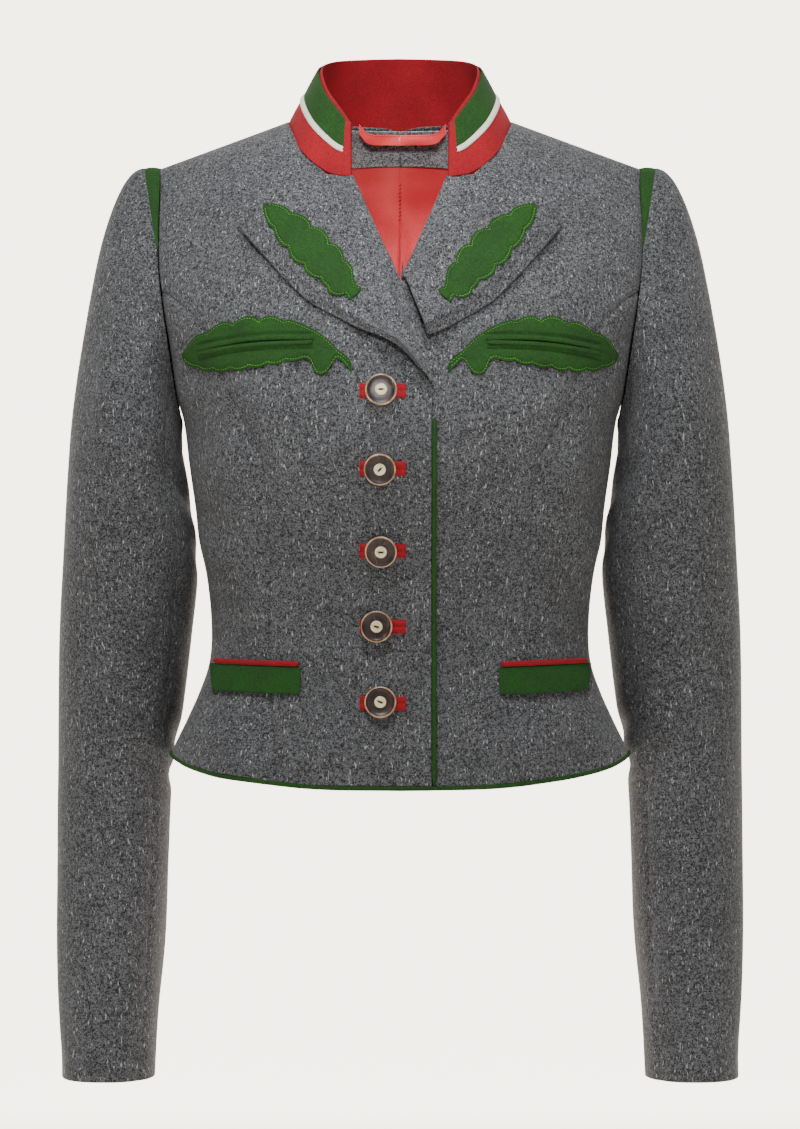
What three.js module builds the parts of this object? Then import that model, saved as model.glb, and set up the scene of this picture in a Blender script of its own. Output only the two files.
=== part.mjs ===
// A short fitted loden jacket with a stand collar, worn form, hollow.
// Millimetres, +Z up, +X towards the wearer's left, -Y to the front.
// The origin is the middle of the neck base, level with the side-neck points.
import * as THREE from 'three';

// ---------- driving dimensions ----------
const CLOTH = 2.0;            // loden wall
const TRIM = 1.4;             // felt, piping and lining walls
const SEAM = 0.3;             // gap between neighbouring pieces
const LIFT = 0.8;             // gap under a piece that lies on a panel
const NECK_HALF = 77;         // side-neck point from the middle
const SHOULDER_SLOPE = 0.372; // fall of the shoulder line per millimetre outward
const ROUNDING = 110;         // reach of the shoulder's curve, front and back
const FRONT_POWER = 2.35;     // squareness of the front half of a section
const BACK_POWER = 2.05;      // squareness of the back half of a section
const HEM_Z = -446;           // lower edge of the cloth in front, above the piping
const PIPING = 3.3;           // visible height of the green piping
const UNDERARM_Z = -205;
const HEM_BLEND_Z = -350;     // rows start to follow the hem here
const LINING_GAP = 1.4;       // back lining inside the back
const LINING_WALL = 1;
const LINING_SPLIT = 1.2;     // each lining half starts here, under the pleat
const EDGE_X = 20.4;          // edge of the lapping right front, beside its piping
const UNDERLAP_X = -24.5;     // hidden edge of the left front
const LAP_RISE = 3.0;         // right front above left front where they lap

const COLOURS = {
  loden: 0x696b70,
  green: 0x347820,
  darkGreen: 0x175009,
  red: 0xbe0b1a,
  white: 0xf0eee1,
  satin: 0xd8484c,
  horn: 0x5c4238,
  ivory: 0xebe1be,
};

// ---------- short tables, one row for each section ----------
const columns = (names, rows) =>
  rows.map((row) => Object.fromEntries(names.map((name, i) => [name, row[i]])));

const TORSO = columns(['z', 'half', 'front', 'back', 'ridge'], [
  [30, 172, 52, 88, 12],
  [0, 172, 54, 88, 12],
  [-39, 172, 62, 92, 8],
  [-60, 174, 70, 94, 7],
  [-97, 175, 84, 96, 6],
  [-129, 171, 97, 98, 5],
  [-150, 164, 105, 98, 4],
  [-168, 158, 112, 97, 3],
  [-190, 152.6, 117, 95.5, 2.5],
  [-205, 148, 118, 94.5, 2],
  [-236, 144, 115.5, 91.5, 0],
  [-264, 140, 109, 89, -2],
  [-286, 137.5, 103, 87, -4],
  [-306, 133, 99, 86, -5.5],
  [-329, 130, 96, 86, -7],
  [-351, 129, 95.5, 87, -9],
  [-369, 130.6, 97, 90, -12],
  [-388, 137, 100, 95, -16],
  [-406, 145, 104, 101, -20],
  [-430, 155.8, 109, 109, -24],
  [-456, 160, 113, 116, -26],
]);
const ARMHOLE = columns(['z', 'x'], [
  [30, 163.5], [-32, 163.5], [-97, 163.4], [-129, 159.8],
  [-149, 157], [-169, 154.4], [-190, 151.5], [-205, 148.1],
]);
const PRINCESS = columns(['z', 'x'], [
  [-118, 160.2], [-127, 148.4], [-141, 134.5], [-170, 120], [-203, 108],
  [-235, 93], [-298, 86], [-367, 87.5], [-456, 81],
]);
const ROLL_LINE = columns(['z', 'x'], [
  [-44, -33.4], [-82, -17.2], [-118.5, -1.3], [-140, 6.6],
  [-160, 13.1], [-177, 17.7], [-189, 20.9], [-206, 23.3],
]);
const FRONT_NECK = columns(['z', 'x'], [[0, 77], [-24, 66.8], [-41, 48.6], [-44, 33.4]]);
const LAPEL_EDGE = columns(['t', 'x', 'z'], [
  [0, 106, -77], [0.06, 101, -84.5], [0.2, 86.8, -100.6], [0.32, 73.3, -115.7], [0.44, 59.3, -129.3],
  [0.57, 41.4, -140.2], [0.7, 23.6, -150.9], [0.81, 8.5, -158.3], [0.9, -3.3, -166],
  [0.96, -12.4, -175.5], [1, -18.3, -186.8],
]);
const HEM_RISE = columns(['x', 'rise'], [
  [0, 0], [60, 1], [105, 5.6], [124, 8.5], [141, 13], [150, 17], [157, 21], [164, 24],
]);
const SLEEVE = columns(['z', 'outer', 'inner', 'y', 'depth'], [
  [-225, 223.8, 148.6, 4, 56],
  [-262, 227.6, 143.6, 8, 56],
  [-300, 230, 140.6, 12, 55],
  [-350, 232.5, 145, 18, 54],
  [-400, 234, 150, 24, 52.5],
  [-440, 234.2, 155, 26, 51],
  [-500, 234, 158, 18, 49.5],
  [-560, 232.8, 161.5, 8, 48],
  [-610, 231.3, 164.5, -2, 46],
  [-648, 230, 166.2, -8, 45],
]);
const COLLAR = columns(['turn', 'baseX', 'baseY', 'baseZ', 'topX', 'topY', 'topZ'], [
  [0.00, 0, 63, 2.5, 0, 52, 47],
  [0.18, 30, 59, 2.5, 27, 48, 46],
  [0.34, 57, 41, 2.2, 48, 33, 43],
  [0.50, 75, 12, 1.5, 56, 8, 36],
  [0.68, 67, -32, -20.6, 52.5, -20, 20],
  [0.86, 49, -48.5, -37.2, 41, -37, 3],
  [1.00, 34.2, -54.5, -41, 34.8, -43, -6],
]);

const clamp = (value, low, high) => Math.min(Math.max(value, low), high);
const mix = (a, b, t) => a + (b - a) * t;
const ease = (t) => {
  const u = clamp(t, 0, 1);
  return u * u * (3 - 2 * u);
};

// Smooth curve through one column of a table, read at a value of its first column.
function look(table, column, at) {
  const key = Object.keys(table[0])[0];
  const rising = table[table.length - 1][key] > table[0][key];
  const rows = rising ? table : [...table].reverse();
  if (at <= rows[0][key]) return rows[0][column];
  const last = rows.length - 1;
  if (at >= rows[last][key]) return rows[last][column];
  let i = 0;
  while (at > rows[i + 1][key]) i += 1;
  const slope = (k) => {
    const a = rows[Math.max(k - 1, 0)];
    const b = rows[Math.min(k + 1, last)];
    return (b[column] - a[column]) / (b[key] - a[key]);
  };
  const step = rows[i + 1][key] - rows[i][key];
  const u = (at - rows[i][key]) / step;
  const a = rows[i][column];
  const b = rows[i + 1][column];
  const u2 = u * u;
  const u3 = u2 * u;
  return a * (2 * u3 - 3 * u2 + 1) + slope(i) * step * (u3 - 2 * u2 + u)
    + b * (3 * u2 - 2 * u3) + slope(i + 1) * step * (u3 - u2);
}

// Straight lines through one column of a table.
function lookStraight(table, column, at) {
  const key = Object.keys(table[0])[0];
  const rows = table[table.length - 1][key] > table[0][key] ? table : [...table].reverse();
  const last = rows.length - 1;
  if (at <= rows[0][key]) return rows[0][column];
  if (at >= rows[last][key]) return rows[last][column];
  let i = 0;
  while (at > rows[i + 1][key]) i += 1;
  const t = (at - rows[i][key]) / (rows[i + 1][key] - rows[i][key]);
  return mix(rows[i][column], rows[i + 1][column], t);
}

// ---------- the torso surface ----------
const ridgeZ = (x) => (NECK_HALF - Math.abs(x)) * SHOULDER_SLOPE;
const shoulderCurve = (drop) => {
  const d = clamp(drop, 0, ROUNDING);
  return Math.sqrt(1 - (1 - d / ROUNDING) ** 2);
};

// A point of the torso at x and height z, on the front or on the back.
function torso(x, z, isBack, lift = 0) {
  const half = look(TORSO, 'half', z);
  const ratio = Math.min(Math.abs(x) / half, 1);
  const power = isBack ? BACK_POWER : FRONT_POWER;
  const curve = (1 - ratio ** power) ** (1 / power) * shoulderCurve(ridgeZ(x) - z);
  const ridge = look(TORSO, 'ridge', z);
  const reach = isBack
    ? look(TORSO, 'back', z) - ridge + lift
    : -(look(TORSO, 'front', z) + ridge + lift);
  return new THREE.Vector3(x, ridge + reach * curve, z);
}

// Share of the half width, 0 in the middle and 1 at the side, as an angle and back.
const angleOf = (x, z, power) => Math.asin(Math.min(Math.abs(x) / look(TORSO, 'half', z), 1) ** (power / 2));
const xOf = (angle, z, power) => look(TORSO, 'half', z) * Math.sin(angle) ** (2 / power);

// Heights of a row: level at the waist, along the shoulder at the top, along the hem below.
function rowZ(level, x) {
  const top = ridgeZ(0);
  const shoulder = clamp((level - UNDERARM_Z) / (top - UNDERARM_Z), 0, 1);
  const hem = ease((HEM_BLEND_Z - level) / (HEM_BLEND_Z - HEM_Z));
  return level + (ridgeZ(x) - top) * shoulder + look(HEM_RISE, 'rise', Math.abs(x)) * hem;
}

// The point where a row meets an edge given as x by height.
function edgeAngle(level, edge, power) {
  let x = 80;
  for (let i = 0; i < 40; i += 1) x = mix(x, edge(rowZ(level, x)), 0.6);
  return angleOf(x, rowZ(level, x), power) * Math.sign(x || 1);
}

function rowPoint(level, angle, power, isBack) {
  const side = Math.sign(angle) || 1;
  let z = level;
  let x = 0;
  for (let i = 0; i < 30; i += 1) {
    x = side * xOf(Math.abs(angle), z, power);
    z = mix(z, rowZ(level, x), 0.7);
  }
  return torso(x, z, isBack);
}

// ---------- closed solids from grids of points ----------
const materials = {};
function material(colour, roughness = 0.95) {
  materials[colour] ??= new THREE.MeshStandardMaterial({ color: COLOURS[colour], roughness, metalness: 0 });
  return materials[colour].clone();
}

// A wall with one face through grid a and the other through grid b.
function wallGeometry(a, b) {
  const rows = a.length;
  const cols = a[0].length;
  const positions = [];
  const index = [];
  for (const p of [a, b].flat(2)) positions.push(p.x, p.y, p.z);
  const id = (face, r, c) => face * rows * cols + r * cols + c;
  const quad = (p, q, r, s) => index.push(p, q, r, p, r, s);
  for (let r = 0; r < rows - 1; r += 1) {
    for (let c = 0; c < cols - 1; c += 1) {
      quad(id(0, r, c), id(0, r, c + 1), id(0, r + 1, c + 1), id(0, r + 1, c));
      quad(id(1, r, c), id(1, r + 1, c), id(1, r + 1, c + 1), id(1, r, c + 1));
    }
    quad(id(0, r, 0), id(0, r + 1, 0), id(1, r + 1, 0), id(1, r, 0));
    quad(id(0, r + 1, cols - 1), id(0, r, cols - 1), id(1, r, cols - 1), id(1, r + 1, cols - 1));
  }
  for (let c = 0; c < cols - 1; c += 1) {
    quad(id(0, 0, c + 1), id(0, 0, c), id(1, 0, c), id(1, 0, c + 1));
    quad(id(0, rows - 1, c), id(0, rows - 1, c + 1), id(1, rows - 1, c + 1), id(1, rows - 1, c));
  }
  const volume = signedVolume(positions, index);
  if (volume < 0) {
    for (let i = 0; i < index.length; i += 3) {
      [index[i + 1], index[i + 2]] = [index[i + 2], index[i + 1]];
    }
  }
  const geometry = new THREE.BufferGeometry();
  geometry.setAttribute('position', new THREE.Float32BufferAttribute(positions, 3));
  geometry.setIndex(index);
  geometry.computeVertexNormals();
  return geometry;
}

function signedVolume(positions, index) {
  const at = (i) => new THREE.Vector3(...positions.slice(i * 3, i * 3 + 3));
  let sum = 0;
  for (let i = 0; i < index.length; i += 3) {
    sum += at(index[i]).dot(at(index[i + 1]).cross(at(index[i + 2]))) / 6;
  }
  return sum;
}

const jacket = new THREE.Group();
function add(name, geometry, colour, roughness) {
  const mesh = new THREE.Mesh(geometry, material(colour, roughness));
  mesh.name = name;
  jacket.add(mesh);
  return mesh;
}

// ---------- torso panels ----------
const TOP_LEVEL = ridgeZ(0);
const TOP_LEVELS = [0, 0.22, 0.42, 0.58, 0.733, 0.9].map((a) => TOP_LEVEL - ROUNDING * (1 - Math.cos(a)));
const LEVELS = [...TOP_LEVELS, -32, -58, -75, -89, -104, -122, -142, -164, -182, -195, -205, -232,
  -262, -294, -326, -352, -378, -402, -426, HEM_Z];
const SIDE_FIRST = LEVELS.indexOf(-89);
const LINING_FIRST = TOP_LEVELS.length - 1;  // its top edge is tucked behind the neck facing

// Unit normal of the torso, worked out from close points of the same surface.
function torsoNormal(x, z, isBack) {
  const side = isBack ? 1 : -1;
  const outward = Math.sign(x) || 1;
  const step = 0.4;
  if (ridgeZ(x) - z < 1) return new THREE.Vector3(SHOULDER_SLOPE * outward, 0, 1).normalize();
  const slopeX = (torso(x, z, isBack).y - torso(x - outward * step, z, isBack).y) / (outward * step);
  const slopeZ = (torso(x, z + step, isBack).y - torso(x, z - step, isBack).y) / (2 * step);
  const normal = new THREE.Vector3(-slopeX * side, side, -slopeZ * side).normalize();
  const nearSide = clamp((Math.abs(x) / look(TORSO, 'half', z) - 0.985) / 0.015, 0, 1);
  const widening = (look(TORSO, 'half', z + step) - look(TORSO, 'half', z - step)) / (2 * step);
  return normal.lerp(new THREE.Vector3(outward, 0, -widening).normalize(), nearSide).normalize();
}

// Grid of a torso panel between two edges, each given as x by height and row level.
function panelGrid({ from, to, cols, levels, isBack }) {
  const power = isBack ? BACK_POWER : FRONT_POWER;
  return levels.map((level) => {
    const a = edgeAngle(level, (z) => from(z, level), power);
    const b = edgeAngle(level, (z) => to(z, level), power);
    return Array.from({ length: cols + 1 }, (_, c) => rowPoint(level, mix(a, b, c / cols), power, isBack));
  });
}

// One wall of the torso: its outer face at a height over the torso surface, and its mirror side.
function panel(name, { isBack = false, mirror = 1, outer = () => 0, wall = CLOTH, colour = 'loden', ...grid }) {
  const points = panelGrid({ isBack, ...grid });
  const away = isBack ? SEAM / 2 : -SEAM / 2;
  const face = (depth) => points.map((row) => row.map((p) => {
    const normal = torsoNormal(p.x, p.z, isBack);
    const q = p.clone().addScaledVector(normal, outer(p.x * mirror, p.z) - depth);
    q.y += away;
    q.x *= mirror;
    return q;
  }));
  add(name, wallGeometry(face(0), face(wall)), colour);
}

const SIDE_TUCK = 0.00001;     // keeps a side edge just inside the widest point of its section
const sideEdge = (z) => {
  const half = look(TORSO, 'half', z);
  return (z > UNDERARM_Z ? Math.min(look(ARMHOLE, 'x', z), half) : half) - SIDE_TUCK;
};
const princess = (z) => (z > PRINCESS[0].z ? sideEdge(z) : Math.min(look(PRINCESS, 'x', z), sideEdge(z)));
const neckFront = (z) => lookStraight(FRONT_NECK, 'x', z);
const rollEdge = (z) => look(ROLL_LINE, 'x', z);
// Inner edge of a front, outward positive: the neckline, then the roll line, then the front edge.
const openingEdge = (z, overlap) => (z > -44 ? neckFront(z) : Math.max(-rollEdge(z), -overlap));
// Inner edge of a back half: the neckline at the height of the side-neck points, then the middle seam.
const backEdge = (z, level) => {
  const drop = TOP_LEVEL - level;
  return Math.max(NECK_HALF - (drop + 0.3) / SHOULDER_SLOPE, SEAM / 2);
};
const lapRise = (x, z) => LAP_RISE * ease((x + 75) / 45) * ease((-85 - z) / 32);
const none = () => 0;

const SIDES = [
  { side: 'right', mirror: -1, overlap: EDGE_X, outer: lapRise },
  { side: 'left', mirror: 1, overlap: -UNDERLAP_X, outer: none },
];
for (const { side, mirror, overlap, outer } of SIDES) {
  panel(`front_${side}_centre`, {
    from: (z) => openingEdge(z, overlap),
    to: (z) => princess(z) - SEAM / 2,
    cols: 7,
    levels: LEVELS,
    mirror,
    outer,
  });
  panel(`front_${side}_side`, {
    from: (z) => princess(z) + SEAM / 2,
    to: sideEdge,
    cols: 4,
    levels: LEVELS.slice(SIDE_FIRST),
    mirror,
  });
  panel(`back_${side}`, { from: backEdge, to: sideEdge, cols: 7, levels: LEVELS, isBack: true, mirror });
  panel(`lining_back_${side}`, {
    from: () => LINING_SPLIT,
    to: (z) => sideEdge(z) - 1,
    cols: 7,
    levels: LEVELS.slice(LINING_FIRST, -1),
    isBack: true,
    mirror,
    outer: () => -CLOTH - LINING_GAP,
    wall: LINING_WALL,
    colour: 'satin',
  });
}

// A point over one front: the torso front, its lap rise on the wearer's right, and a height.
function frontPoint(x, z, height) {
  const rise = x < EDGE_X + 1 ? lapRise(x, z) : 0;
  return torso(x, z, false).addScaledVector(torsoNormal(x, z, false), rise + height);
}

// ---------- sleeves ----------
const CAP_STEPS = [0, 0.06, 0.14, 0.26, 0.42, 0.6, 0.8, 1];
const ARM_LEVELS = [-248, -280, -320, -365, -405, -440, -490, -545, -600, -648];
const CAP_TOP = -31.6;
const WEDGE_WIDTH = 10.5;
const WEDGE_END_Z = -90;
const FRONT_SEAM = 2.4;       // angle of the sleeve's front seam, from the top towards the front
const BACK_SEAM = 4.01;       // angle of its back seam
const SLEEVE_POWER = 2.2;
const ARMHOLE_GAP = 1.1;      // sleeve head beside the body
const UNDERARM_GAP = 0.9;     // more of it under the arm
const wedgeWidth = (z) => WEDGE_WIDTH * clamp((z - WEDGE_END_Z) / (CAP_TOP - WEDGE_END_Z), 0, 1);

// Point of the armhole edge at an angle, 0 at the top, a quarter turn at the front.
function armholePoint(angle) {
  const middle = (CAP_TOP + UNDERARM_Z) / 2;
  const z = middle + (CAP_TOP - middle) * Math.cos(angle);
  const isBack = Math.sin(angle) < 0;
  const zOn = Math.min(z, ridgeZ(163.5) - 0.02);
  const p = torso(sideEdge(zOn), zOn, isBack);
  p.z = z;
  return p;
}

function sleeveRing(angle, z) {
  const outer = look(SLEEVE, 'outer', z);
  const inner = look(SLEEVE, 'inner', z);
  const power = (value) => Math.sign(value) * Math.abs(value) ** (2 / SLEEVE_POWER);
  const x = (outer + inner) / 2 + ((outer - inner) / 2) * power(Math.cos(angle));
  const y = look(SLEEVE, 'y', z) - look(SLEEVE, 'depth', z) * power(Math.sin(angle));
  return new THREE.Vector3(x, y, z);
}

function sleevePoint(angle, row) {
  if (row >= CAP_STEPS.length) return sleeveRing(angle, ARM_LEVELS[row - CAP_STEPS.length]);
  const t = CAP_STEPS[row];
  const start = armholePoint(angle);
  const top = Math.max(Math.cos(angle), 0) ** 2;
  const low = Math.max(-Math.cos(angle), 0) ** 2;
  const wedge = wedgeWidth(start.z);
  start.x += SEAM + ARMHOLE_GAP + UNDERARM_GAP * low + (wedge > 0 ? wedge + SEAM : 0);
  const end = sleeveRing(angle, SLEEVE[0].z);
  const side = Math.sin(angle) ** 2;
  const front = Math.sign(Math.sin(angle));
  const leave = new THREE.Vector3(26 * top + 8 * side, -9 * side * front, -1.5 * top - 12 * side - 7 * low);
  const arrive = new THREE.Vector3(-9 * top - 2 * side, 0, 95 * top + 60 * side + 7 * low);
  const curve = new THREE.CubicBezierCurve3(start, start.clone().add(leave), end.clone().add(arrive), end);
  return curve.getPoint(t);
}

function sleeveNormal(angle, row) {
  const last = CAP_STEPS.length + ARM_LEVELS.length - 1;
  const around = sleevePoint(angle + 0.03, row).sub(sleevePoint(angle - 0.03, row));
  const along = sleevePoint(angle, Math.min(row + 1, last)).sub(sleevePoint(angle, Math.max(row - 1, 0)));
  return along.cross(around).normalize();
}

function sleevePanel(name, mirror, from, to, cols) {
  const rows = CAP_STEPS.length + ARM_LEVELS.length;
  const gap = SEAM / 2 / 45;
  const face = (depth) => Array.from({ length: rows }, (_, r) =>
    Array.from({ length: cols + 1 }, (_, c) => {
      const angle = mix(from + gap, to - gap, c / cols);
      const p = sleevePoint(angle, r).addScaledVector(sleeveNormal(angle, r), -depth);
      p.x *= mirror;
      return p;
    }));
  add(name, wallGeometry(face(0), face(CLOTH)), 'loden');
}

for (const { side, mirror } of SIDES) {
  sleevePanel(`sleeve_${side}_upper`, mirror, BACK_SEAM - 2 * Math.PI, FRONT_SEAM, 12);
  sleevePanel(`sleeve_${side}_under`, mirror, FRONT_SEAM, BACK_SEAM, 5);
}

// Green wedge between the shoulder and the head of each sleeve.
const WEDGE_REACH = 1.18;      // angle from the top to each end
const WEDGE_STEPS = 12;
const WEDGE_LIFT = 0.1;
for (const { side, mirror } of SIDES) {
  const face = (depth) => Array.from({ length: WEDGE_STEPS + 1 }, (_, r) => {
    const angle = mix(-WEDGE_REACH, WEDGE_REACH, r / WEDGE_STEPS);
    const p = armholePoint(angle);
    const inward = new THREE.Vector3(0, Math.sin(angle) * 0.7, -Math.cos(angle)).normalize();
    return [SEAM, wedgeWidth(p.z) + WEDGE_LIFT].map((x) => {
      const q = p.clone().addScaledVector(inward, depth);
      q.x = (q.x + x) * mirror;
      return q;
    });
  });
  add(`shoulder_wedge_${side}`, wallGeometry(face(WEDGE_LIFT), face(WEDGE_LIFT + TRIM)), 'green');
}

// ---------- lapels ----------
const LAPEL_ROWS = 10;
const LAPEL_COLS = 5;
const ROLL_TOP = -44.6;
const ROLL_BREAK = -188;
const LAPEL_BOW = 9;           // rise of the top edge
const LAPEL_PUFF = 3;          // height of the soft middle over the front
const LAPEL_LIFT = 4;          // the lower edge stands off near the break
// A lapel runs in rows from the roll line out to its lower edge; the first row is its top edge.
// The rows of the left lapel stop short of the right front that laps over it.
const LAPELS = columns(['side', 'mirror', 'rollEnd', 'edgeEnd'], [
  ['right', -1, 0.96, 0.96],
  ['left', 1, 0.48, 0.74],
]);
function lapelPoint({ mirror, rollEnd, edgeEnd }, row, u, height) {
  const rollZ = mix(ROLL_TOP, ROLL_BREAK, row * rollEnd);
  const t = row * edgeEnd;
  const bow = LAPEL_BOW * Math.sin(Math.PI * u) * (1 - t) ** 3 * (0.4 + u);
  const x = mix(-rollEdge(rollZ), look(LAPEL_EDGE, 'x', t), u);
  const z = mix(rollZ, look(LAPEL_EDGE, 'z', t), u) + bow;
  const puff = LAPEL_PUFF * Math.sin(Math.PI * Math.min(u * 1.2, 1)) * ease(t * 1.6);
  const lift = LAPEL_LIFT * ease(u) * ease((t - 0.62) / 0.15) * ease((1 - t) / 0.2);
  return frontPoint(x * mirror, z, height + LIFT + puff + lift);
}
for (const cut of LAPELS) {
  const face = (height) => Array.from({ length: LAPEL_ROWS + 1 }, (_, r) =>
    Array.from({ length: LAPEL_COLS + 1 }, (_, c) =>
      lapelPoint(cut, r / LAPEL_ROWS, mix(0.015, 1, c / LAPEL_COLS), height)));
  add(`lapel_${cut.side}`, wallGeometry(face(CLOTH), face(0)), 'loden');
}

// ---------- felt leaves ----------
// Half widths of a leaf from its stem (0) to its tip (1), with scalloped lobes.
// A lean over 1 puts the widest part nearer the tip.
const leafWidth = (u, half, lobes, lean) => {
  const blade = Math.sin(Math.PI * clamp((u - 0.06) / 0.94, 0, 1) ** lean) ** 0.55;
  const scallop = 0.84 + 0.16 * Math.abs(Math.sin(Math.PI * lobes * u));
  const foot = 4 * Math.exp(-(((u - 0.02) / 0.05) ** 2));
  return Math.max(half * blade * scallop, 2.6) + foot;
};
const LEAF_STATIONS = 22;
// A leaf lies along an arched line from stem to tip, highest near the stem if skew is under 1.
// Its place function puts (x, z, height) on its ground.
function leaf(name, { stem, tip, up, down, arch, skew = 1, lean = 0.85, lobes, place, nut = 0 }) {
  const axis = new THREE.Vector2(tip[0] - stem[0], tip[1] - stem[1]);
  const length = axis.length();
  axis.normalize();
  const lift = new THREE.Vector2(-axis.y, axis.x);
  if (lift.y < 0) lift.negate();
  const face = (height) => Array.from({ length: LEAF_STATIONS + 1 }, (_, r) => {
    const u = r / LEAF_STATIONS;
    const bend = arch * Math.sin(Math.PI * u ** skew);
    const nutLobe = nut * Math.exp(-(((u - 0.17) / 0.045) ** 2));
    const reach = [leafWidth(u, up, lobes, lean), -leafWidth(u, down, lobes + 1, lean) - nutLobe];
    return [0, 0.33, 0.67, 1].map((v) => {
      const across = bend + mix(reach[0], reach[1], v);
      const x = stem[0] + axis.x * u * length + lift.x * across;
      const z = stem[1] + axis.y * u * length + lift.y * across;
      return place(x, z, height);
    });
  });
  add(name, wallGeometry(face(TRIM), face(0)), 'green');
}

const FELT_RISE = LIFT + TRIM;
for (const { mirror, side } of SIDES) {
  leaf(`leaf_lapel_${side}`, {
    stem: [28 * mirror, -129.5],
    tip: [86.5 * mirror, -70],
    up: 14,
    down: 13,
    arch: 1.5,
    lobes: 5,
    place: (x, z, height) => frontPoint(x, z, height + LAPEL_PUFF + CLOTH + 2 * LIFT),
  });
  leaf(`leaf_breast_${side}`, {
    stem: [31.5 * mirror, -175],
    tip: [145.5 * mirror, -162],
    up: 18,
    down: 18,
    arch: 15,
    skew: 0.65,
    lean: 1.2,
    lobes: 5,
    nut: 11,
    place: (x, z, height) => frontPoint(x, z, height + LIFT),
  });
}

// ---------- pockets ----------
// A band on the front from one end to the other, given by its middle line, height and arch.
function band(name, { from, to, tall, arch = 0, cols = 6, ground, wall = TRIM, colour, roughness }) {
  const face = (height) => [0.5, -0.5].map((v) => Array.from({ length: cols + 1 }, (_, c) => {
    const t = c / cols;
    const z = mix(from[1], to[1], t) + v * tall + arch * Math.sin(Math.PI * t);
    return frontPoint(mix(from[0], to[0], t), z, ground + height);
  }));
  add(name, wallGeometry(face(wall), face(0)), colour, roughness);
}

const POCKET_LIFT = 1.5;
const WELTS = columns(['name', 'offset'], [['upper', 1.9], ['lower', -1.9]]);
for (const { mirror, side } of SIDES) {
  for (const { name, offset } of WELTS) {
    band(`welt_breast_${side}_${name}`, {
      from: [57 * mirror, -155.6 + offset],
      to: [131.5 * mirror, -160.3 + offset],
      tall: 3.2,
      arch: 2.5,
      cols: 8,
      ground: FELT_RISE + LIFT,
      wall: 1.2,
      colour: 'green',
    });
  }
  band(`pocket_welt_${side}`, {
    from: [65.5 * mirror, -378.8],
    to: [124.5 * mirror, -377.2],
    tall: 17.5,
    cols: 9,
    ground: POCKET_LIFT,
    colour: 'darkGreen',
  });
  band(`pocket_piping_${side}`, {
    from: [66 * mirror, -367.8],
    to: [122.5 * mirror, -366.4],
    tall: 3.4,
    cols: 9,
    ground: POCKET_LIFT,
    wall: 2,
    colour: 'red',
  });
}

// ---------- collar ----------
const COLLAR_STEPS = 22;
const INNER_WALL = 1.3;
const INNER_GAP = 0.8;
const BAND_WALL = 1.6;
const EDGE_TURN = 0.95;        // the red end binding starts here
const CORD_PROUD = 0.5;        // the cord stands out between its bands
function collarPoint(turn, share, depth) {
  const at = Math.abs(turn);
  const side = Math.sign(turn) || 1;
  const base = new THREE.Vector3(...['baseX', 'baseY', 'baseZ'].map((key) => look(COLLAR, key, at)));
  const top = new THREE.Vector3(...['topX', 'topY', 'topZ'].map((key) => look(COLLAR, key, at)));
  const p = base.lerp(top, share);
  const outward = new THREE.Vector3(p.x, p.y + 6, 0).normalize();
  p.addScaledVector(outward, -depth);
  p.x *= side;
  return p;
}
function collarBand(name, { turns, shares, depth, wall, colour, steps = COLLAR_STEPS, roughness }) {
  const face = (extra) => shares.map((share) => Array.from({ length: steps + 1 }, (_, c) =>
    collarPoint(mix(turns[0], turns[1], c / steps), share, depth + extra)));
  add(name, wallGeometry(face(0), face(wall)), colour, roughness);
}
const ROUND = [-EDGE_TURN, EDGE_TURN];
collarBand('collar_red', { turns: ROUND, shares: [0, 0.2, 0.38], depth: 0, wall: BAND_WALL, colour: 'red' });
collarBand('collar_piping', {
  turns: ROUND,
  shares: [0.388, 0.5],
  depth: -CORD_PROUD,
  wall: BAND_WALL + CORD_PROUD,
  colour: 'white',
});
collarBand('collar_green', {
  turns: ROUND,
  shares: [0.508, 0.75, 0.975],
  depth: 0,
  wall: BAND_WALL,
  colour: 'green',
});
collarBand('collar_inner', {
  turns: ROUND,
  shares: [0, 0.5, 1],
  depth: BAND_WALL + INNER_GAP,
  wall: INNER_WALL,
  colour: 'red',
});
for (const { side, mirror } of SIDES) {
  collarBand(`collar_end_${side}`, {
    turns: [(EDGE_TURN + 0.006) * mirror, mirror],
    shares: [0, 0.5, 1],
    depth: 0,
    wall: BAND_WALL + INNER_GAP + INNER_WALL,
    steps: 2,
    colour: 'red',
  });
}

// ---------- inside the back neck ----------
function backInside(x, z, depth) {
  return torso(x, z, true).addScaledVector(torsoNormal(x, z, true), -depth);
}
const FACING_HALF = 66;
const FACING_DROP = 22;
const FACING_GAP = LINING_GAP + LINING_WALL + 0.8;
const FACING_CURVE = 0.0012;  // fall of its lower edge, per square millimetre from the middle
const FACING_WALL = 1.2;
const FACING_STEPS = 12;
const facingFace = (depth) => [0, 0.33, 0.67, 1].map((v) => Array.from({ length: FACING_STEPS + 1 }, (_, c) => {
  const x = mix(-FACING_HALF, FACING_HALF, c / FACING_STEPS);
  return backInside(x, mix(-1.2, -FACING_DROP - FACING_CURVE * x * x, v), depth);
}));
const facingTop = CLOTH + FACING_GAP;
add('facing_back_neck', wallGeometry(facingFace(facingTop), facingFace(facingTop + FACING_WALL)), 'loden');

// Hanger loop: a flat strip with slanted ends, hung inside the back neck.
const LOOP = columns(['x', 'z'], [[-28, 1], [-22, -5], [-8, -5.6], [8, -5.6], [25, -5], [31.5, 1]]);
const LOOP_TALL = 7;
const LOOP_INSET = 8.6;
const LOOP_WALL = 1.2;
const loopFace = (depth) => [0.5, -0.5].map((v) => LOOP.map(({ x, z }) =>
  new THREE.Vector3(x, torso(x, 0, true).y - LOOP_INSET - depth, z + v * LOOP_TALL - 3)));
add('hanger_loop', wallGeometry(loopFace(0), loopFace(LOOP_WALL)), 'satin', 0.4);

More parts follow.
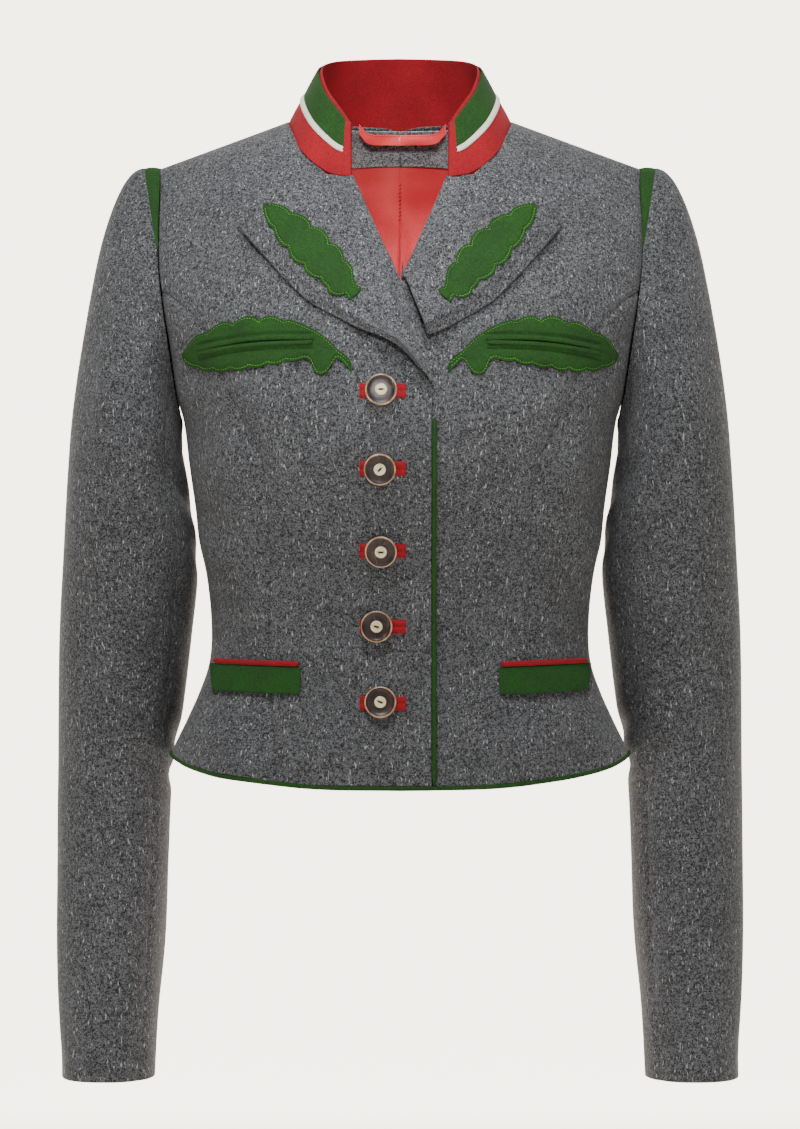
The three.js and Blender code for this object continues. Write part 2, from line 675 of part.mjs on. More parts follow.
// ---------- piping ----------
const EDGE_TOP = -206;
const EDGE_PROUD = 0.2;
const edgeFace = (height) => {
  const levels = LEVELS.filter((z) => z < EDGE_TOP);
  return [EDGE_TOP, ...levels].map((level) => [EDGE_X + SEAM, EDGE_X + SEAM + PIPING].map((x) => {
    const z = rowZ(level, x);
    return torso(x, z, false).addScaledVector(torsoNormal(x, z, false), LAP_RISE + height);
  }));
};
add('piping_front_edge', wallGeometry(edgeFace(EDGE_PROUD), edgeFace(-CLOTH)), 'green');

// The hem piping runs from the right front's edge round the back to the left front's edge.
const hemStart = edgeAngle(HEM_Z, () => -(EDGE_X + SEAM + PIPING), FRONT_POWER);
const hemEnd = edgeAngle(HEM_Z, () => UNDERLAP_X, FRONT_POWER);
const HEM_ROUTE = [
  { mirror: -1, isBack: false, from: hemStart, to: Math.PI / 2, steps: 12 },
  { mirror: -1, isBack: true, from: Math.PI / 2, to: 0.001, steps: 9 },
  { mirror: 1, isBack: true, from: 0.001, to: Math.PI / 2, steps: 9 },
  { mirror: 1, isBack: false, from: Math.PI / 2, to: hemEnd, steps: 12 },
];
const HEM_GAP = 1.1;
const hemFace = (depth) => [HEM_GAP, HEM_GAP + PIPING].map((down) =>
  HEM_ROUTE.flatMap(({ mirror, isBack, from, to, steps }, part) => {
    const power = isBack ? BACK_POWER : FRONT_POWER;
    return Array.from({ length: steps + 1 }, (_, c) => c).slice(part > 0 ? 1 : 0).map((c) => {
      const p = rowPoint(HEM_Z - down, mix(from, to, c / steps), power, isBack);
      const rise = isBack || mirror > 0 ? 0 : lapRise(-p.x, p.z);
      p.addScaledVector(torsoNormal(p.x, p.z, isBack).setZ(0).normalize(), rise - depth);
      p.x *= mirror;
      return p;
    });
  }));
add('piping_hem', wallGeometry(hemFace(0), hemFace(CLOTH)), 'green');

// ---------- buttons and bound buttonholes ----------
const BUTTONS = columns(['number', 'x', 'z'], [
  [1, -12.2, -188.5], [2, -13, -238.3], [3, -12.4, -292], [4, -15.2, -342.6], [5, -12.8, -393.9],
]);
const HOLE_MIDDLE = -11.2;
const HOLE_LONG = 29.6;
const HOLE_TALL = 9.4;
const HOLE_WALL = 1;
const BUTTON_HEIGHT = 2.6;     // back of the button over the front
const BUTTON_WELL = 2;         // floor of its recess over its back
const buttonProfile = [
  [0, 0], [8, 0], [10.5, 1.2], [10.5, 2.4], [9.2, 2.9], [6, BUTTON_WELL], [0, BUTTON_WELL],
];
const middleProfile = [[0, 0], [3.9, 0], [3.9, 0.7], [3.2, 1], [0, 1]];
function disc(name, profile, segments, { x, z }, height, colour, roughness) {
  const lathe = new THREE.LatheGeometry(profile.map(([r, h]) => new THREE.Vector2(r, h)), segments);
  const turn = new THREE.Quaternion().setFromUnitVectors(new THREE.Vector3(0, 1, 0), torsoNormal(x, z, false));
  const mesh = add(name, lathe, colour, roughness);
  mesh.quaternion.copy(turn);
  mesh.position.copy(frontPoint(x, z, height));
}
for (const { number, x, z } of BUTTONS) {
  band(`buttonhole_${number}`, {
    from: [HOLE_MIDDLE - HOLE_LONG / 2, z],
    to: [HOLE_MIDDLE + HOLE_LONG / 2, z],
    tall: HOLE_TALL,
    cols: 4,
    ground: LIFT,
    wall: HOLE_WALL,
    colour: 'red',
  });
  disc(`button_${number}`, buttonProfile, 20, { x, z }, BUTTON_HEIGHT, 'horn', 0.45);
  disc(`button_middle_${number}`, middleProfile, 14, { x, z }, BUTTON_HEIGHT + BUTTON_WELL + SEAM, 'ivory', 0.5);
}

export default jacket;
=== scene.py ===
# %% [markdown]
# # A short loden jacket with a stand collar
# The real jacket is fulled grey wool, cut in panels and sewn over the shoulders and round the body.
# Felt oak leaves are stitched to its lapels and over its breast pockets.
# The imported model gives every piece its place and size. This lesson only dresses those pieces:
# each solid is replaced by a fine shell of cloth on the same form, with creases, seams and thread.

# %% Load the frame
import math
import bpy
import numpy as np
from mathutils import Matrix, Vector


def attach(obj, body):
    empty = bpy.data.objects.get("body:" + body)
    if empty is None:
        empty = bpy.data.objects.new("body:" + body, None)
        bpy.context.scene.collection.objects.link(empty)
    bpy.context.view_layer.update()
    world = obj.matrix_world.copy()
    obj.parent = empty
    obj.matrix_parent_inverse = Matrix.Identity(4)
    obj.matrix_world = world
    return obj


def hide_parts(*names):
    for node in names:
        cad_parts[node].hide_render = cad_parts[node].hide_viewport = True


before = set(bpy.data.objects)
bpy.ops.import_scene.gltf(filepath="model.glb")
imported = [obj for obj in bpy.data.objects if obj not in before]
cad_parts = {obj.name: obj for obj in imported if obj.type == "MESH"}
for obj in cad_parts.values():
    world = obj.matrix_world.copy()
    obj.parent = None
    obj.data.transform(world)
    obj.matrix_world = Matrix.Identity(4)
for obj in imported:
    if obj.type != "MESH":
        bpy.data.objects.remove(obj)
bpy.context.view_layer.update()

MM = 0.001
print("nodes in the frame:", len(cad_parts))

# %% [markdown]
# ## Camera and light
# The jacket is seen level from the front, filled out as if worn. A long lens from about three metres keeps
# its outline close to a flat drawing. Soft light from above and in front shows the nap without hard shadows,
# so the lights are wide area lamps and a pale sky.

# %% Camera
VIEW_MIDDLE_Z = -301.7
VIEW_HEIGHT = 767.7
CAMERA_AWAY = 3200
SENSOR = 24.0


def add_object(name, data, place=(0, 0, 0), turn=(0, 0, 0)):
    made = bpy.data.objects.new(name, data)
    made.location = place
    made.rotation_euler = turn
    bpy.context.collection.objects.link(made)
    return made


def set_camera():
    data = bpy.data.cameras.new("front_camera")
    data.sensor_fit = "VERTICAL"
    data.sensor_height = SENSOR
    data.lens = SENSOR * CAMERA_AWAY / VIEW_HEIGHT
    data.clip_end = 50
    place = (0, -CAMERA_AWAY * MM, VIEW_MIDDLE_Z * MM)
    bpy.context.scene.camera = add_object("front_camera", data, place, (math.radians(90), 0, 0))


set_camera()

# %% Lamps and sky
LAMPS = [
    # name, place in metres, size in metres, power in watts
    ("key_top_front", (-0.3, -1.25, 2.35), 1.0, 74),
    ("fill_front", (1.2, -2.9, 0.1), 1.6, 3),
    ("back_left", (-2.0, 1.3, 1.1), 1.2, 3),
    ("back_right", (2.0, 1.2, 1.1), 1.2, 3),
]
AIM = (0, 0, -0.28)
NECK_LAMP_PLACE = (0, -1.7, 0.42)
NECK_LAMP_AIM = (0, 0.02, -0.085)
NECK_LAMP_POWER = 125
NECK_LAMP_CONE = 15
SKY_COLOUR = (0.93, 0.91, 0.88, 1)
SKY_STRENGTH = 0.3


def aimed(place, target):
    return (Vector(target) - Vector(place)).to_track_quat("-Z", "Y").to_euler()


def set_lamps():
    for name, place, size, power in LAMPS:
        data = bpy.data.lights.new(name, "AREA")
        data.shape = "DISK"
        data.size = size
        data.energy = power
        add_object(name, data, place, aimed(place, AIM))
    neck = bpy.data.lights.new("neck_spot", "SPOT")
    neck.energy = NECK_LAMP_POWER
    neck.spot_size = math.radians(NECK_LAMP_CONE)
    neck.spot_blend = 1
    neck.shadow_soft_size = 0.12
    add_object("neck_spot", neck, NECK_LAMP_PLACE, aimed(NECK_LAMP_PLACE, NECK_LAMP_AIM))
    world = bpy.data.worlds.new("pale_sky")
    world.use_nodes = True
    sky = world.node_tree.nodes["Background"].inputs
    sky["Color"].default_value = SKY_COLOUR
    sky["Strength"].default_value = SKY_STRENGTH
    bpy.context.scene.world = world


set_lamps()

# %% [markdown]
# ## Shader maths as Python
# A finish is a formula over the surface. Wrapping a socket in a small class lets that formula be written with
# plus and times signs; each sign adds one Math node. Everything else goes through one method, `node`.

# %% Shader helpers


class Wire:
    """A value flowing from a socket, for use in plain arithmetic."""

    def __init__(self, shade, socket):
        self.shade = shade
        self.socket = socket

    def join(self, operation, other, swap=False):
        pair = (other, self) if swap else (self, other)
        return self.shade.node("ShaderNodeMath", {"operation": operation}, dict(enumerate(pair)))

    def __add__(self, other):
        return self.join("ADD", other)

    def __sub__(self, other):
        return self.join("SUBTRACT", other)

    def __mul__(self, other):
        return self.join("MULTIPLY", other)

    def __rsub__(self, other):
        return self.join("SUBTRACT", other, swap=True)

    __radd__ = __add__
    __rmul__ = __mul__


class Shade:
    """One material, built node by node."""

    def __init__(self, name, **finish):
        self.material = bpy.data.materials.new(name)
        self.material.use_nodes = True
        self.tree = self.material.node_tree
        self.bsdf = self.tree.nodes["Principled BSDF"]
        for key, value in finish.items():
            self.bsdf.inputs[key.replace("_", " ").title()].default_value = value
        self.place = self.node("ShaderNodeTexCoord", {}, {}, out="Object")

    def node(self, kind, settings, sockets, out=0):
        made = self.tree.nodes.new(kind)
        for key, value in settings.items():
            setattr(made, key, value)
        for key, value in sockets.items():
            if isinstance(value, Wire):
                self.tree.links.new(value.socket, made.inputs[key])
            else:
                made.inputs[key].default_value = value
        return Wire(self, made.outputs[out])

    def stretched(self, scale, turn=(0, 0, 0)):
        return self.node("ShaderNodeMapping", {}, {"Vector": self.place, "Scale": scale, "Rotation": turn})

    def noise(self, scale, detail=2, rough=0.5, vector=None):
        sockets = {"Vector": vector or self.place, "Scale": scale, "Detail": detail, "Roughness": rough}
        return self.node("ShaderNodeTexNoise", {}, sockets)

    def step(self, value, low, high):
        """0 under low, 1 over high, soft between."""
        return self.node("ShaderNodeMapRange", {"interpolation_type": "SMOOTHSTEP"}, {0: value, 1: low, 2: high})

    def mix(self, factor, first, second, blend="MIX"):
        settings = {"data_type": "RGBA", "blend_type": blend}
        return self.node("ShaderNodeMix", settings, {0: factor, 6: first, 7: second}, out=2)

    def bump(self, height, strength, distance):
        return self.node("ShaderNodeBump", {}, {"Height": height, "Strength": strength, "Distance": distance})

    def feed(self, **wires):
        for key, wire in wires.items():
            self.tree.links.new(wire.socket, self.bsdf.inputs[key.replace("_", " ").title()])
        return self.material


def srgb(*display):
    """A colour given in 0-255 display values, as linear light."""
    parts = [value / 255 for value in display]
    return (*(v / 12.92 if v <= 0.04045 else ((v + 0.055) / 1.055) ** 2.4 for v in parts), 1)


# %% [markdown]
# ## Finishes
# Loden is spun from dark and pale wool mixed, so its grey is a salt and pepper of fibres a millimetre or so
# across. Two noises give the mix, a third gives stray pale hairs, and a slow one the unevenness of the cloth.
# Felt and the red collar cloth are dyed in one colour, so they vary only a little, and their nap shows as sheen.

# %% Wool finishes


def loden_finish(name, dark, pale, hair):
    shade = Shade(name, roughness=0.92, sheen_weight=0.08, sheen_roughness=0.55)
    fine = shade.noise(1050, detail=3, rough=0.72)
    blotch = shade.noise(430, detail=2, rough=0.6)
    slow = shade.noise(38, detail=2)
    mixed = fine * 0.72 + blotch * 0.28
    salt = shade.step(mixed, 0.415, 0.585)
    colour = shade.mix(salt, dark, pale)
    hairs = shade.noise(900, detail=1, vector=shade.stretched((1, 1, 0.22), (0.4, 0.3, 0.2)))
    colour = shade.mix(shade.step(hairs, 0.66, 0.74) * 0.65, colour, hair)
    pits = shade.noise(820, detail=1, vector=shade.stretched((0.3, 1, 1), (0.2, 0.5, 0.9)))
    colour = shade.mix(shade.step(pits, 0.66, 0.75) * 0.6, colour, srgb(34, 35, 39))
    shadow = shade.step(slow, 0.3, 0.7) * 0.16 + 0.82
    shadow_colour = shade.node("ShaderNodeCombineColor", {}, {0: shadow, 1: shadow, 2: shadow})
    colour = shade.mix(1.0, colour, shadow_colour, blend="MULTIPLY")
    nap = fine * 0.7 + hairs * 0.5
    return shade.feed(base_color=colour, normal=shade.bump(nap, 0.55, 0.0006))


def nap_finish(name, deep, lit, grain, bump, sheen=0.5):
    shade = Shade(name, roughness=0.9, sheen_weight=sheen, sheen_roughness=0.4, sheen_tint=lit)
    fine = shade.noise(grain, detail=3, rough=0.7)
    slow = shade.noise(45, detail=2)
    tone = fine * 0.8 + slow * 0.2
    colour = shade.mix(shade.step(tone, 0.36, 0.66), deep, lit)
    return shade.feed(base_color=colour, normal=shade.bump(fine, bump, 0.0004))


LODEN = loden_finish("loden", srgb(12, 13, 16), srgb(106, 108, 112), srgb(206, 207, 210))
# partly painted light: the back neck facing gets a paler copy of the loden; its cloth is paler, and the copy is
# lightened further to stand in for light that barely reaches inside the neck
PALE_LODEN_WITH_PAINTED_LIGHT = loden_finish("loden_facing_pale_with_painted_light", srgb(66, 67, 70), srgb(176, 177, 180), srgb(222, 222, 224))
GREEN = nap_finish("green_felt", srgb(10, 49, 1), srgb(25, 78, 4), 900, 0.5, sheen=0.12)
DARK_GREEN = nap_finish("dark_green_cloth", srgb(8, 52, 2), srgb(20, 80, 6), 900, 0.4, sheen=0.05)
RED = nap_finish("red_cloth", srgb(122, 0, 14), srgb(168, 0, 24), 1100, 0.3, sheen=0.04)
CREAM = nap_finish("white_cord", srgb(214, 208, 190), srgb(246, 243, 230), 1400, 0.35, sheen=0.1)

# %% [markdown]
# ## Satin, horn and thread
# The lining is a close satin: smooth along its threads, so it shines; its soft broad patches of shine and shade are
# painted into its colour. The buttons are slices of horn, brown with fine pale grain, polished but not glassy.

# %% Smooth finishes


def satin_finish(name, deep, lit):
    shade = Shade(name, roughness=0.34, sheen_weight=0.35, sheen_roughness=0.3, sheen_tint=srgb(255, 170, 160))
    thread = shade.noise(2600, detail=1, vector=shade.stretched((1, 1, 0.12)))
    slow = shade.noise(30, detail=1)
    # painted shine and shade: slow patches blend a shaded coral into a lit coral; the real shine comes from the low
    # roughness and the sheen
    colour = shade.mix(shade.step(slow * 0.7 + thread * 0.3, 0.3, 0.7), deep, lit)
    rough = thread * 0.18 + 0.27
    return shade.feed(base_color=colour, roughness=rough, normal=shade.bump(thread, 0.12, 0.0002))


def horn_finish(name, deep, lit, streak):
    shade = Shade(name, roughness=0.42, coat_weight=0.15, coat_roughness=0.25)
    grain = shade.noise(420, detail=4, rough=0.65, vector=shade.stretched((1, 1, 0.18), (0, 0.5, 0)))
    cloud = shade.noise(160, detail=3)
    colour = shade.mix(shade.step(cloud, 0.35, 0.65), deep, lit)
    colour = shade.mix(shade.step(grain, 0.56, 0.7) * 0.7, colour, streak)
    rough = grain * 0.25 + 0.32
    return shade.feed(base_color=colour, roughness=rough, normal=shade.bump(grain, 0.15, 0.0002))


# the two satin colours are a painted shade and a painted highlight
SATIN = satin_finish("satin_lining", srgb(222, 44, 54), srgb(252, 90, 92))
HORN = horn_finish("horn", srgb(24, 12, 10), srgb(54, 32, 27), srgb(110, 80, 64))
# painted highlight: a pale horn finish laid round the button's rounded edge
RIM_PAINTED_HIGHLIGHT = horn_finish("horn_rim_painted_highlight", srgb(150, 112, 80), srgb(206, 172, 132), srgb(232, 208, 172))
IVORY = horn_finish("ivory", srgb(222, 204, 158), srgb(240, 228, 192), srgb(248, 240, 214))
THREAD = nap_finish("dark_thread", srgb(22, 20, 20), srgb(46, 42, 40), 1500, 0.2, sheen=0.0)
GREEN_THREAD = nap_finish("green_thread", srgb(60, 128, 30), srgb(120, 190, 70), 2200, 0.3, sheen=0.2)
RED_THREAD = nap_finish("red_thread", srgb(150, 14, 24), srgb(200, 46, 50), 2200, 0.3, sheen=0.2)
print("finishes made:", len(bpy.data.materials))

# %% [markdown]
# ## The form of the jacket
# The torso is a stack of level sections. A tailor would know them as measures: half width, depth to the front and
# to the back, and the line where front and back meet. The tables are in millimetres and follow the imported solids;
# only the sleeve's inner side is set a little closer to the body. A smooth curve through each column gives the
# form between the sections.

# %% Tables of measures


def table(names, *rows):
    """Columns by name, sorted by the first one."""
    data = np.array(sorted(rows), dtype=float)
    return {name: data[:, i] for i, name in enumerate(names.split())}


TORSO = table(
    "z half front back ridge",
    (30, 172, 52, 88, 12), (0, 172, 54, 88, 12), (-39, 172, 62, 92, 8), (-60, 174, 70, 94, 7),
    (-97, 175, 84, 96, 6), (-129, 171, 97, 98, 5), (-150, 164, 105, 98, 4), (-168, 158, 112, 97, 3),
    (-190, 152.6, 117, 95.5, 2.5), (-205, 148, 118, 94.5, 2), (-236, 144, 115.5, 91.5, 0),
    (-264, 140, 109, 89, -2), (-286, 137.5, 103, 87, -4), (-306, 133, 99, 86, -5.5),
    (-329, 130, 96, 86, -7), (-351, 129, 95.5, 87, -9), (-369, 130.6, 97, 90, -12),
    (-388, 137, 100, 95, -16), (-406, 145, 104, 101, -20), (-430, 155.8, 109, 109, -24),
    (-456, 160, 113, 116, -26),
)
ARMHOLE = table("z x", (30, 163.5), (-32, 163.5), (-97, 163.4), (-129, 159.8), (-149, 157), (-169, 154.4),
                (-190, 151.5), (-205, 148.1))
PRINCESS = table("z x", (-118, 160.2), (-127, 148.4), (-141, 134.5), (-170, 120), (-203, 108), (-235, 93),
                 (-298, 86), (-367, 87.5), (-456, 81))
ROLL_LINE = table("z x", (-44, -33.4), (-82, -17.2), (-118.5, -1.3), (-140, 6.6), (-160, 13.1), (-177, 17.7),
                  (-189, 20.9), (-206, 23.3))
FRONT_NECK = table("z x", (0, 77), (-24, 66.8), (-41, 48.6), (-44, 33.4))
HEM_RISE = table("x rise", (0, 0), (60, 1), (105, 5.6), (124, 8.5), (141, 13), (150, 17), (157, 21), (164, 24))
SLEEVE = table(
    "z outer inner y depth",
    (-225, 223.8, 147.8, 4, 56), (-262, 227.6, 141.4, 8, 56), (-300, 230, 138, 12, 55),
    (-350, 232.5, 142.4, 18, 54), (-400, 234, 148.6, 24, 52.5), (-440, 234.2, 155, 26, 51),
    (-500, 234, 158, 18, 49.5), (-560, 232.8, 161.5, 8, 48), (-610, 231.3, 164.5, -2, 46),
    (-648, 230, 166.2, -8, 45),
)
COLLAR = table(
    "turn base_x base_y base_z top_x top_y top_z",
    (0.00, 0, 63, 2.5, 0, 52, 47), (0.18, 30, 59, 2.5, 27, 48, 46), (0.34, 57, 41, 2.2, 48, 33, 43),
    (0.50, 75, 12, 1.5, 56, 8, 36), (0.68, 67, -32, -20.6, 52.5, -20, 20), (0.86, 49, -48.5, -37.2, 41, -37, 3),
    (1.00, 34.2, -54.5, -41, 34.8, -43, -6),
)
LAPEL_EDGE = table(
    "t x z",
    (0, 106, -77), (0.06, 101, -84.5), (0.2, 86.8, -100.6), (0.32, 73.3, -115.7), (0.44, 59.3, -129.3),
    (0.57, 41.4, -140.2), (0.7, 23.6, -150.9), (0.81, 8.5, -158.3), (0.9, -3.3, -166), (0.96, -12.4, -175.5),
    (1, -18.3, -186.8),
)


def look(columns, column, at):
    """A smooth curve through one column, read at values of the first column."""
    keys = next(iter(columns.values()))
    values = columns[column]
    slopes = np.empty_like(values)
    slopes[1:-1] = (values[2:] - values[:-2]) / (keys[2:] - keys[:-2])
    slopes[0] = (values[1] - values[0]) / (keys[1] - keys[0])
    slopes[-1] = (values[-1] - values[-2]) / (keys[-1] - keys[-2])
    at = np.clip(np.asarray(at, dtype=float), keys[0], keys[-1])
    i = np.clip(np.searchsorted(keys, at, side="right") - 1, 0, len(keys) - 2)
    gap = keys[i + 1] - keys[i]
    u = (at - keys[i]) / gap
    return (values[i] * (2 * u**3 - 3 * u**2 + 1) + slopes[i] * gap * (u**3 - 2 * u**2 + u)
            + values[i + 1] * (3 * u**2 - 2 * u**3) + slopes[i + 1] * gap * (u**3 - u**2))


def straight(columns, column, at):
    return np.interp(at, next(iter(columns.values())), columns[column])


def ease(t):
    u = np.clip(t, 0, 1)
    return u * u * (3 - 2 * u)


def mix(a, b, t):
    return a + (b - a) * t


def bell(t):
    return np.exp(-(t ** 2))


# %% [markdown]
# ## Points on the torso
# A section is a soft square rounder at the back than the front, and near the shoulder it shrinks towards the
# ridge, where front and back meet. Everything that lies on the jacket asks this one surface where it is, so
# pockets, leaves and buttons all follow the same creases.

# %% Torso surface
NECK_HALF = 77
SHOULDER_SLOPE = 0.372
ROUNDING = 110
POWERS = {False: 2.35, True: 2.05}
HEM_Z = -446
PIPING = 3.3
UNDERARM_Z = -205
SHOULDER_X = 163.5
EDGE_X = 20.4
UNDERLAP_X = -24.5
LAP_RISE = 3.0
CLOTH = 1.8
STEP = 0.4
SIDE_BAND = 0.015


def ridge_z(x):
    return (NECK_HALF - np.abs(x)) * SHOULDER_SLOPE


TOP_LEVEL = float(ridge_z(0))


def torso(x, z, back):
    half = look(TORSO, "half", z)
    power = POWERS[back]
    ratio = np.minimum(np.abs(x) / half, 1)
    drop = np.clip(ridge_z(x) - z, 0, ROUNDING)
    curve = (1 - ratio**power) ** (1 / power) * np.sqrt(1 - (1 - drop / ROUNDING) ** 2)
    ridge = look(TORSO, "ridge", z)
    reach = look(TORSO, "back", z) - ridge if back else -(look(TORSO, "front", z) + ridge)
    return np.stack([x, ridge + reach * curve, z * np.ones_like(x)], axis=-1)


def unit(vectors):
    return vectors / np.maximum(np.linalg.norm(vectors, axis=-1, keepdims=True), 1e-9)


def torso_normal(x, z, back):
    side = 1 if back else -1
    outward = np.where(x < 0, -1.0, 1.0)
    inner = torso(x - outward * STEP, z, back)[..., 1]
    slope_x = (torso(x, z, back)[..., 1] - inner) / (outward * STEP)
    slope_z = (torso(x, z + STEP, back)[..., 1] - torso(x, z - STEP, back)[..., 1]) / (2 * STEP)
    normal = unit(np.stack([-slope_x * side, np.full_like(slope_x, side), -slope_z * side], axis=-1))
    near = np.clip((np.abs(x) / look(TORSO, "half", z) - (1 - SIDE_BAND)) / SIDE_BAND, 0, 1)[..., None]
    widening = (look(TORSO, "half", z + STEP) - look(TORSO, "half", z - STEP)) / (2 * STEP)
    sideways = unit(np.stack([outward, np.zeros_like(slope_x), -widening], axis=-1))
    normal = unit(mix(normal, sideways, near))
    top = unit(np.stack([SHOULDER_SLOPE * outward, 0 * outward, np.ones_like(outward)], axis=-1))
    at_top = np.clip(1 - (ridge_z(x) - z) / 1.0, 0, 1)[..., None]
    return unit(mix(normal, top, at_top))


# %% [markdown]
# ## Creases
# Worn cloth breaks where it bends: below the bust dart, at the waist, under the arm and inside the elbow. Each
# crease is one row of a table: a line on the cloth, how wide it is and how deep (a minus digs in, a plus stands
# up). Their lengths and depths are uneven on purpose, because no two creases of a real jacket match.

# %% Crease tables


def creases(rows, across, along):
    """Height of all creases at a point of the cloth; each fades out at both ends of its line."""
    height = np.zeros_like(across)
    for x0, z0, x1, z1, width, depth in rows:
        dx, dz = x1 - x0, z1 - z0
        length2 = dx * dx + dz * dz
        t = ((across - x0) * dx + (along - z0) * dz) / length2
        inside = np.clip(t, 0, 1)
        away2 = (across - x0 - inside * dx) ** 2 + (along - z0 - inside * dz) ** 2
        fade = 0.35 + 0.65 * np.sin(np.pi * inside)
        height += depth * fade * np.exp(-away2 / (width * width))
    return height


FRONT_CREASES = [
    # x, z, to x, to z, width, depth
    (-112, -198, -93, -236, 9, -1.5), (-98, -214, -80, -262, 7, -0.9), (-120, -214, -108, -250, 12, 1.0),
    (112, -202, 95, -240, 9, -1.5), (100, -226, 84, -270, 8, -0.9), (122, -212, 112, -262, 12, 0.9),
    (-128, -330, -92, -342, 8, -0.9), (-132, -352, -78, -356, 10, -1.1), (-60, -346, -24, -340, 11, -0.7),
    (128, -326, 96, -338, 8, -0.9), (130, -354, 70, -352, 9, -1.1), (62, -334, 34, -330, 10, -0.6),
    (-146, -150, -128, -188, 8, -1.2), (146, -152, 130, -186, 8, -1.1), (-139, -200, -128, -232, 7, -0.8),
    (-118, -420, -112, -446, 13, 1.5), (-88, -402, -80, -446, 10, -1.3), (-48, -414, -40, -446, 14, 1.2),
    (46, -408, 42, -446, 12, -1.0), (84, -404, 80, -446, 11, 1.3), (116, -416, 120, -446, 12, -1.4),
    (-70, -268, -62, -318, 14, -0.7), (66, -276, 58, -330, 13, -0.8), (-36, -206, -58, -228, 9, -0.6),
    (4, -210, -2, -236, 5, 0.6), (-24, -262, -52, -276, 8, -0.6), (-26, -316, -58, -308, 9, -0.5),
    (-118, -60, -126, -104, 11, -0.9), (120, -56, 128, -98, 12, -0.8), (44, -196, 70, -216, 13, 0.6),
    (30, -250, 34, -330, 6, -0.7), (29, -360, 32, -430, 7, -0.8), (-140, -262, -118, -280, 7, -0.8),
    (141, -250, 120, -272, 8, -0.9), (137, -286, 112, -300, 7, 0.7), (-136, -296, -110, -306, 7, 0.7),
]
BACK_CREASES = [
    (-30, -120, -112, -150, 10, -1.0), (36, -126, 104, -146, 9, -0.8), (-122, -206, -60, -232, 9, -1.2),
    (124, -212, 70, -240, 10, -1.1), (-112, -332, -34, -344, 8, -1.5), (-90, -352, -20, -357, 7, 1.0),
    (108, -326, 30, -342, 9, -1.4), (96, -354, 28, -350, 7, -1.0), (-66, -368, -14, -366, 8, -0.9),
    (-98, -398, -104, -446, 14, 1.8), (-58, -402, -62, -446, 12, -1.6), (-20, -396, -24, -446, 13, 1.2),
    (26, -400, 24, -446, 12, -1.2), (64, -404, 70, -446, 13, 1.7), (106, -398, 114, -446, 12, -1.6),
    (-134, -100, -120, -180, 10, -1.2), (134, -104, 122, -172, 10, -1.1), (-48, -60, -90, -66, 11, -0.8),
    (50, -62, 96, -70, 12, -0.7), (-16, -200, -12, -300, 13, -0.9), (14, -210, 18, -310, 12, -0.8),
]


def drift(across, along):
    """Slow unevenness of a soft cloth, in fractions of a millimetre."""
    return (0.30 * np.sin(across / 31 + 0.7 * np.sin(along / 53)) * np.sin(along / 37 + 1.1)
            + 0.18 * np.sin(across / 13.7 + along / 19.3))


CREASE_GAIN = 2.0


def lap_rise(x, z):
    """Height of the right front over the left one where they lap."""
    return LAP_RISE * ease((x + 75) / 45) * ease((-85 - z) / 32)


def soft_height(x, z, back):
    """Creases and slow unevenness of the body's cloth."""
    return CREASE_GAIN * (creases(BACK_CREASES if back else FRONT_CREASES, x, z) + drift(x, z))


def side_fade(x, z):
    return ease((look(TORSO, "half", z) - np.abs(x)) / 6 + 0.15)


def ground(x, z, height=0.0, back=False, lap=None):
    """A point above the jacket's outer face; lap says whether the right front lies below it."""
    x, z = np.broadcast_arrays(np.asarray(x, dtype=float), np.asarray(z, dtype=float))
    lap = (x < EDGE_X + 1) if lap is None else lap
    rise = np.zeros_like(x) if back else lap_rise(x, z) * lap
    fade = ease((ridge_z(x) - z) / 25) * side_fade(x, z)
    total = height + rise + soft_height(x, z, back) * fade
    return torso(x, z, back) + torso_normal(x, z, back) * np.asarray(total)[..., None]


# %% [markdown]
# ## Making cloth
# A piece of cloth is two grids of points, one for each face, joined by a rounded rim. The rim is a third ring
# half way through the cloth, pushed out a little, so that a cut edge looks folded and soft instead of sharp.
# Each finished piece rides on the jacket, replaces its plain solid and states the size it was cut to.

# %% Cloth helpers
CORNER = 0.7
NARROWEST = 0.0101
pieces = []


def add_mesh(name, points, faces, materials, face_slots=None):
    """A smooth mesh that rides on the jacket, from points in millimetres."""
    mesh = bpy.data.meshes.new(name)
    if isinstance(faces, np.ndarray):
        mesh.vertices.add(len(points))
        mesh.vertices.foreach_set("co", (np.asarray(points) * MM).ravel())
        mesh.loops.add(faces.size)
        mesh.loops.foreach_set("vertex_index", faces.ravel())
        mesh.polygons.add(len(faces))
        mesh.polygons.foreach_set("loop_start", np.arange(len(faces)) * faces.shape[1])
        mesh.update(calc_edges=True)
    else:
        mesh.from_pydata([tuple(p) for p in np.asarray(points) * MM], [], faces)
    for material in materials:
        mesh.materials.append(material)
    if face_slots is not None:
        mesh.polygons.foreach_set("material_index", np.asarray(face_slots, dtype=np.int32))
    mesh.shade_smooth()
    mesh.validate()
    piece = add_object(name, mesh)
    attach(piece, "root")
    pieces.append(piece)
    return piece


def grid_normals(grid, like):
    """Unit normals of a grid of points, on the same side as a grid of rough directions."""
    down = np.gradient(grid, axis=0)
    over = np.gradient(grid, axis=1)
    normal = unit(np.cross(down, over))
    flip = np.sign(np.sum(normal * like, axis=-1, keepdims=True))
    return normal * np.where(flip == 0, 1, flip)


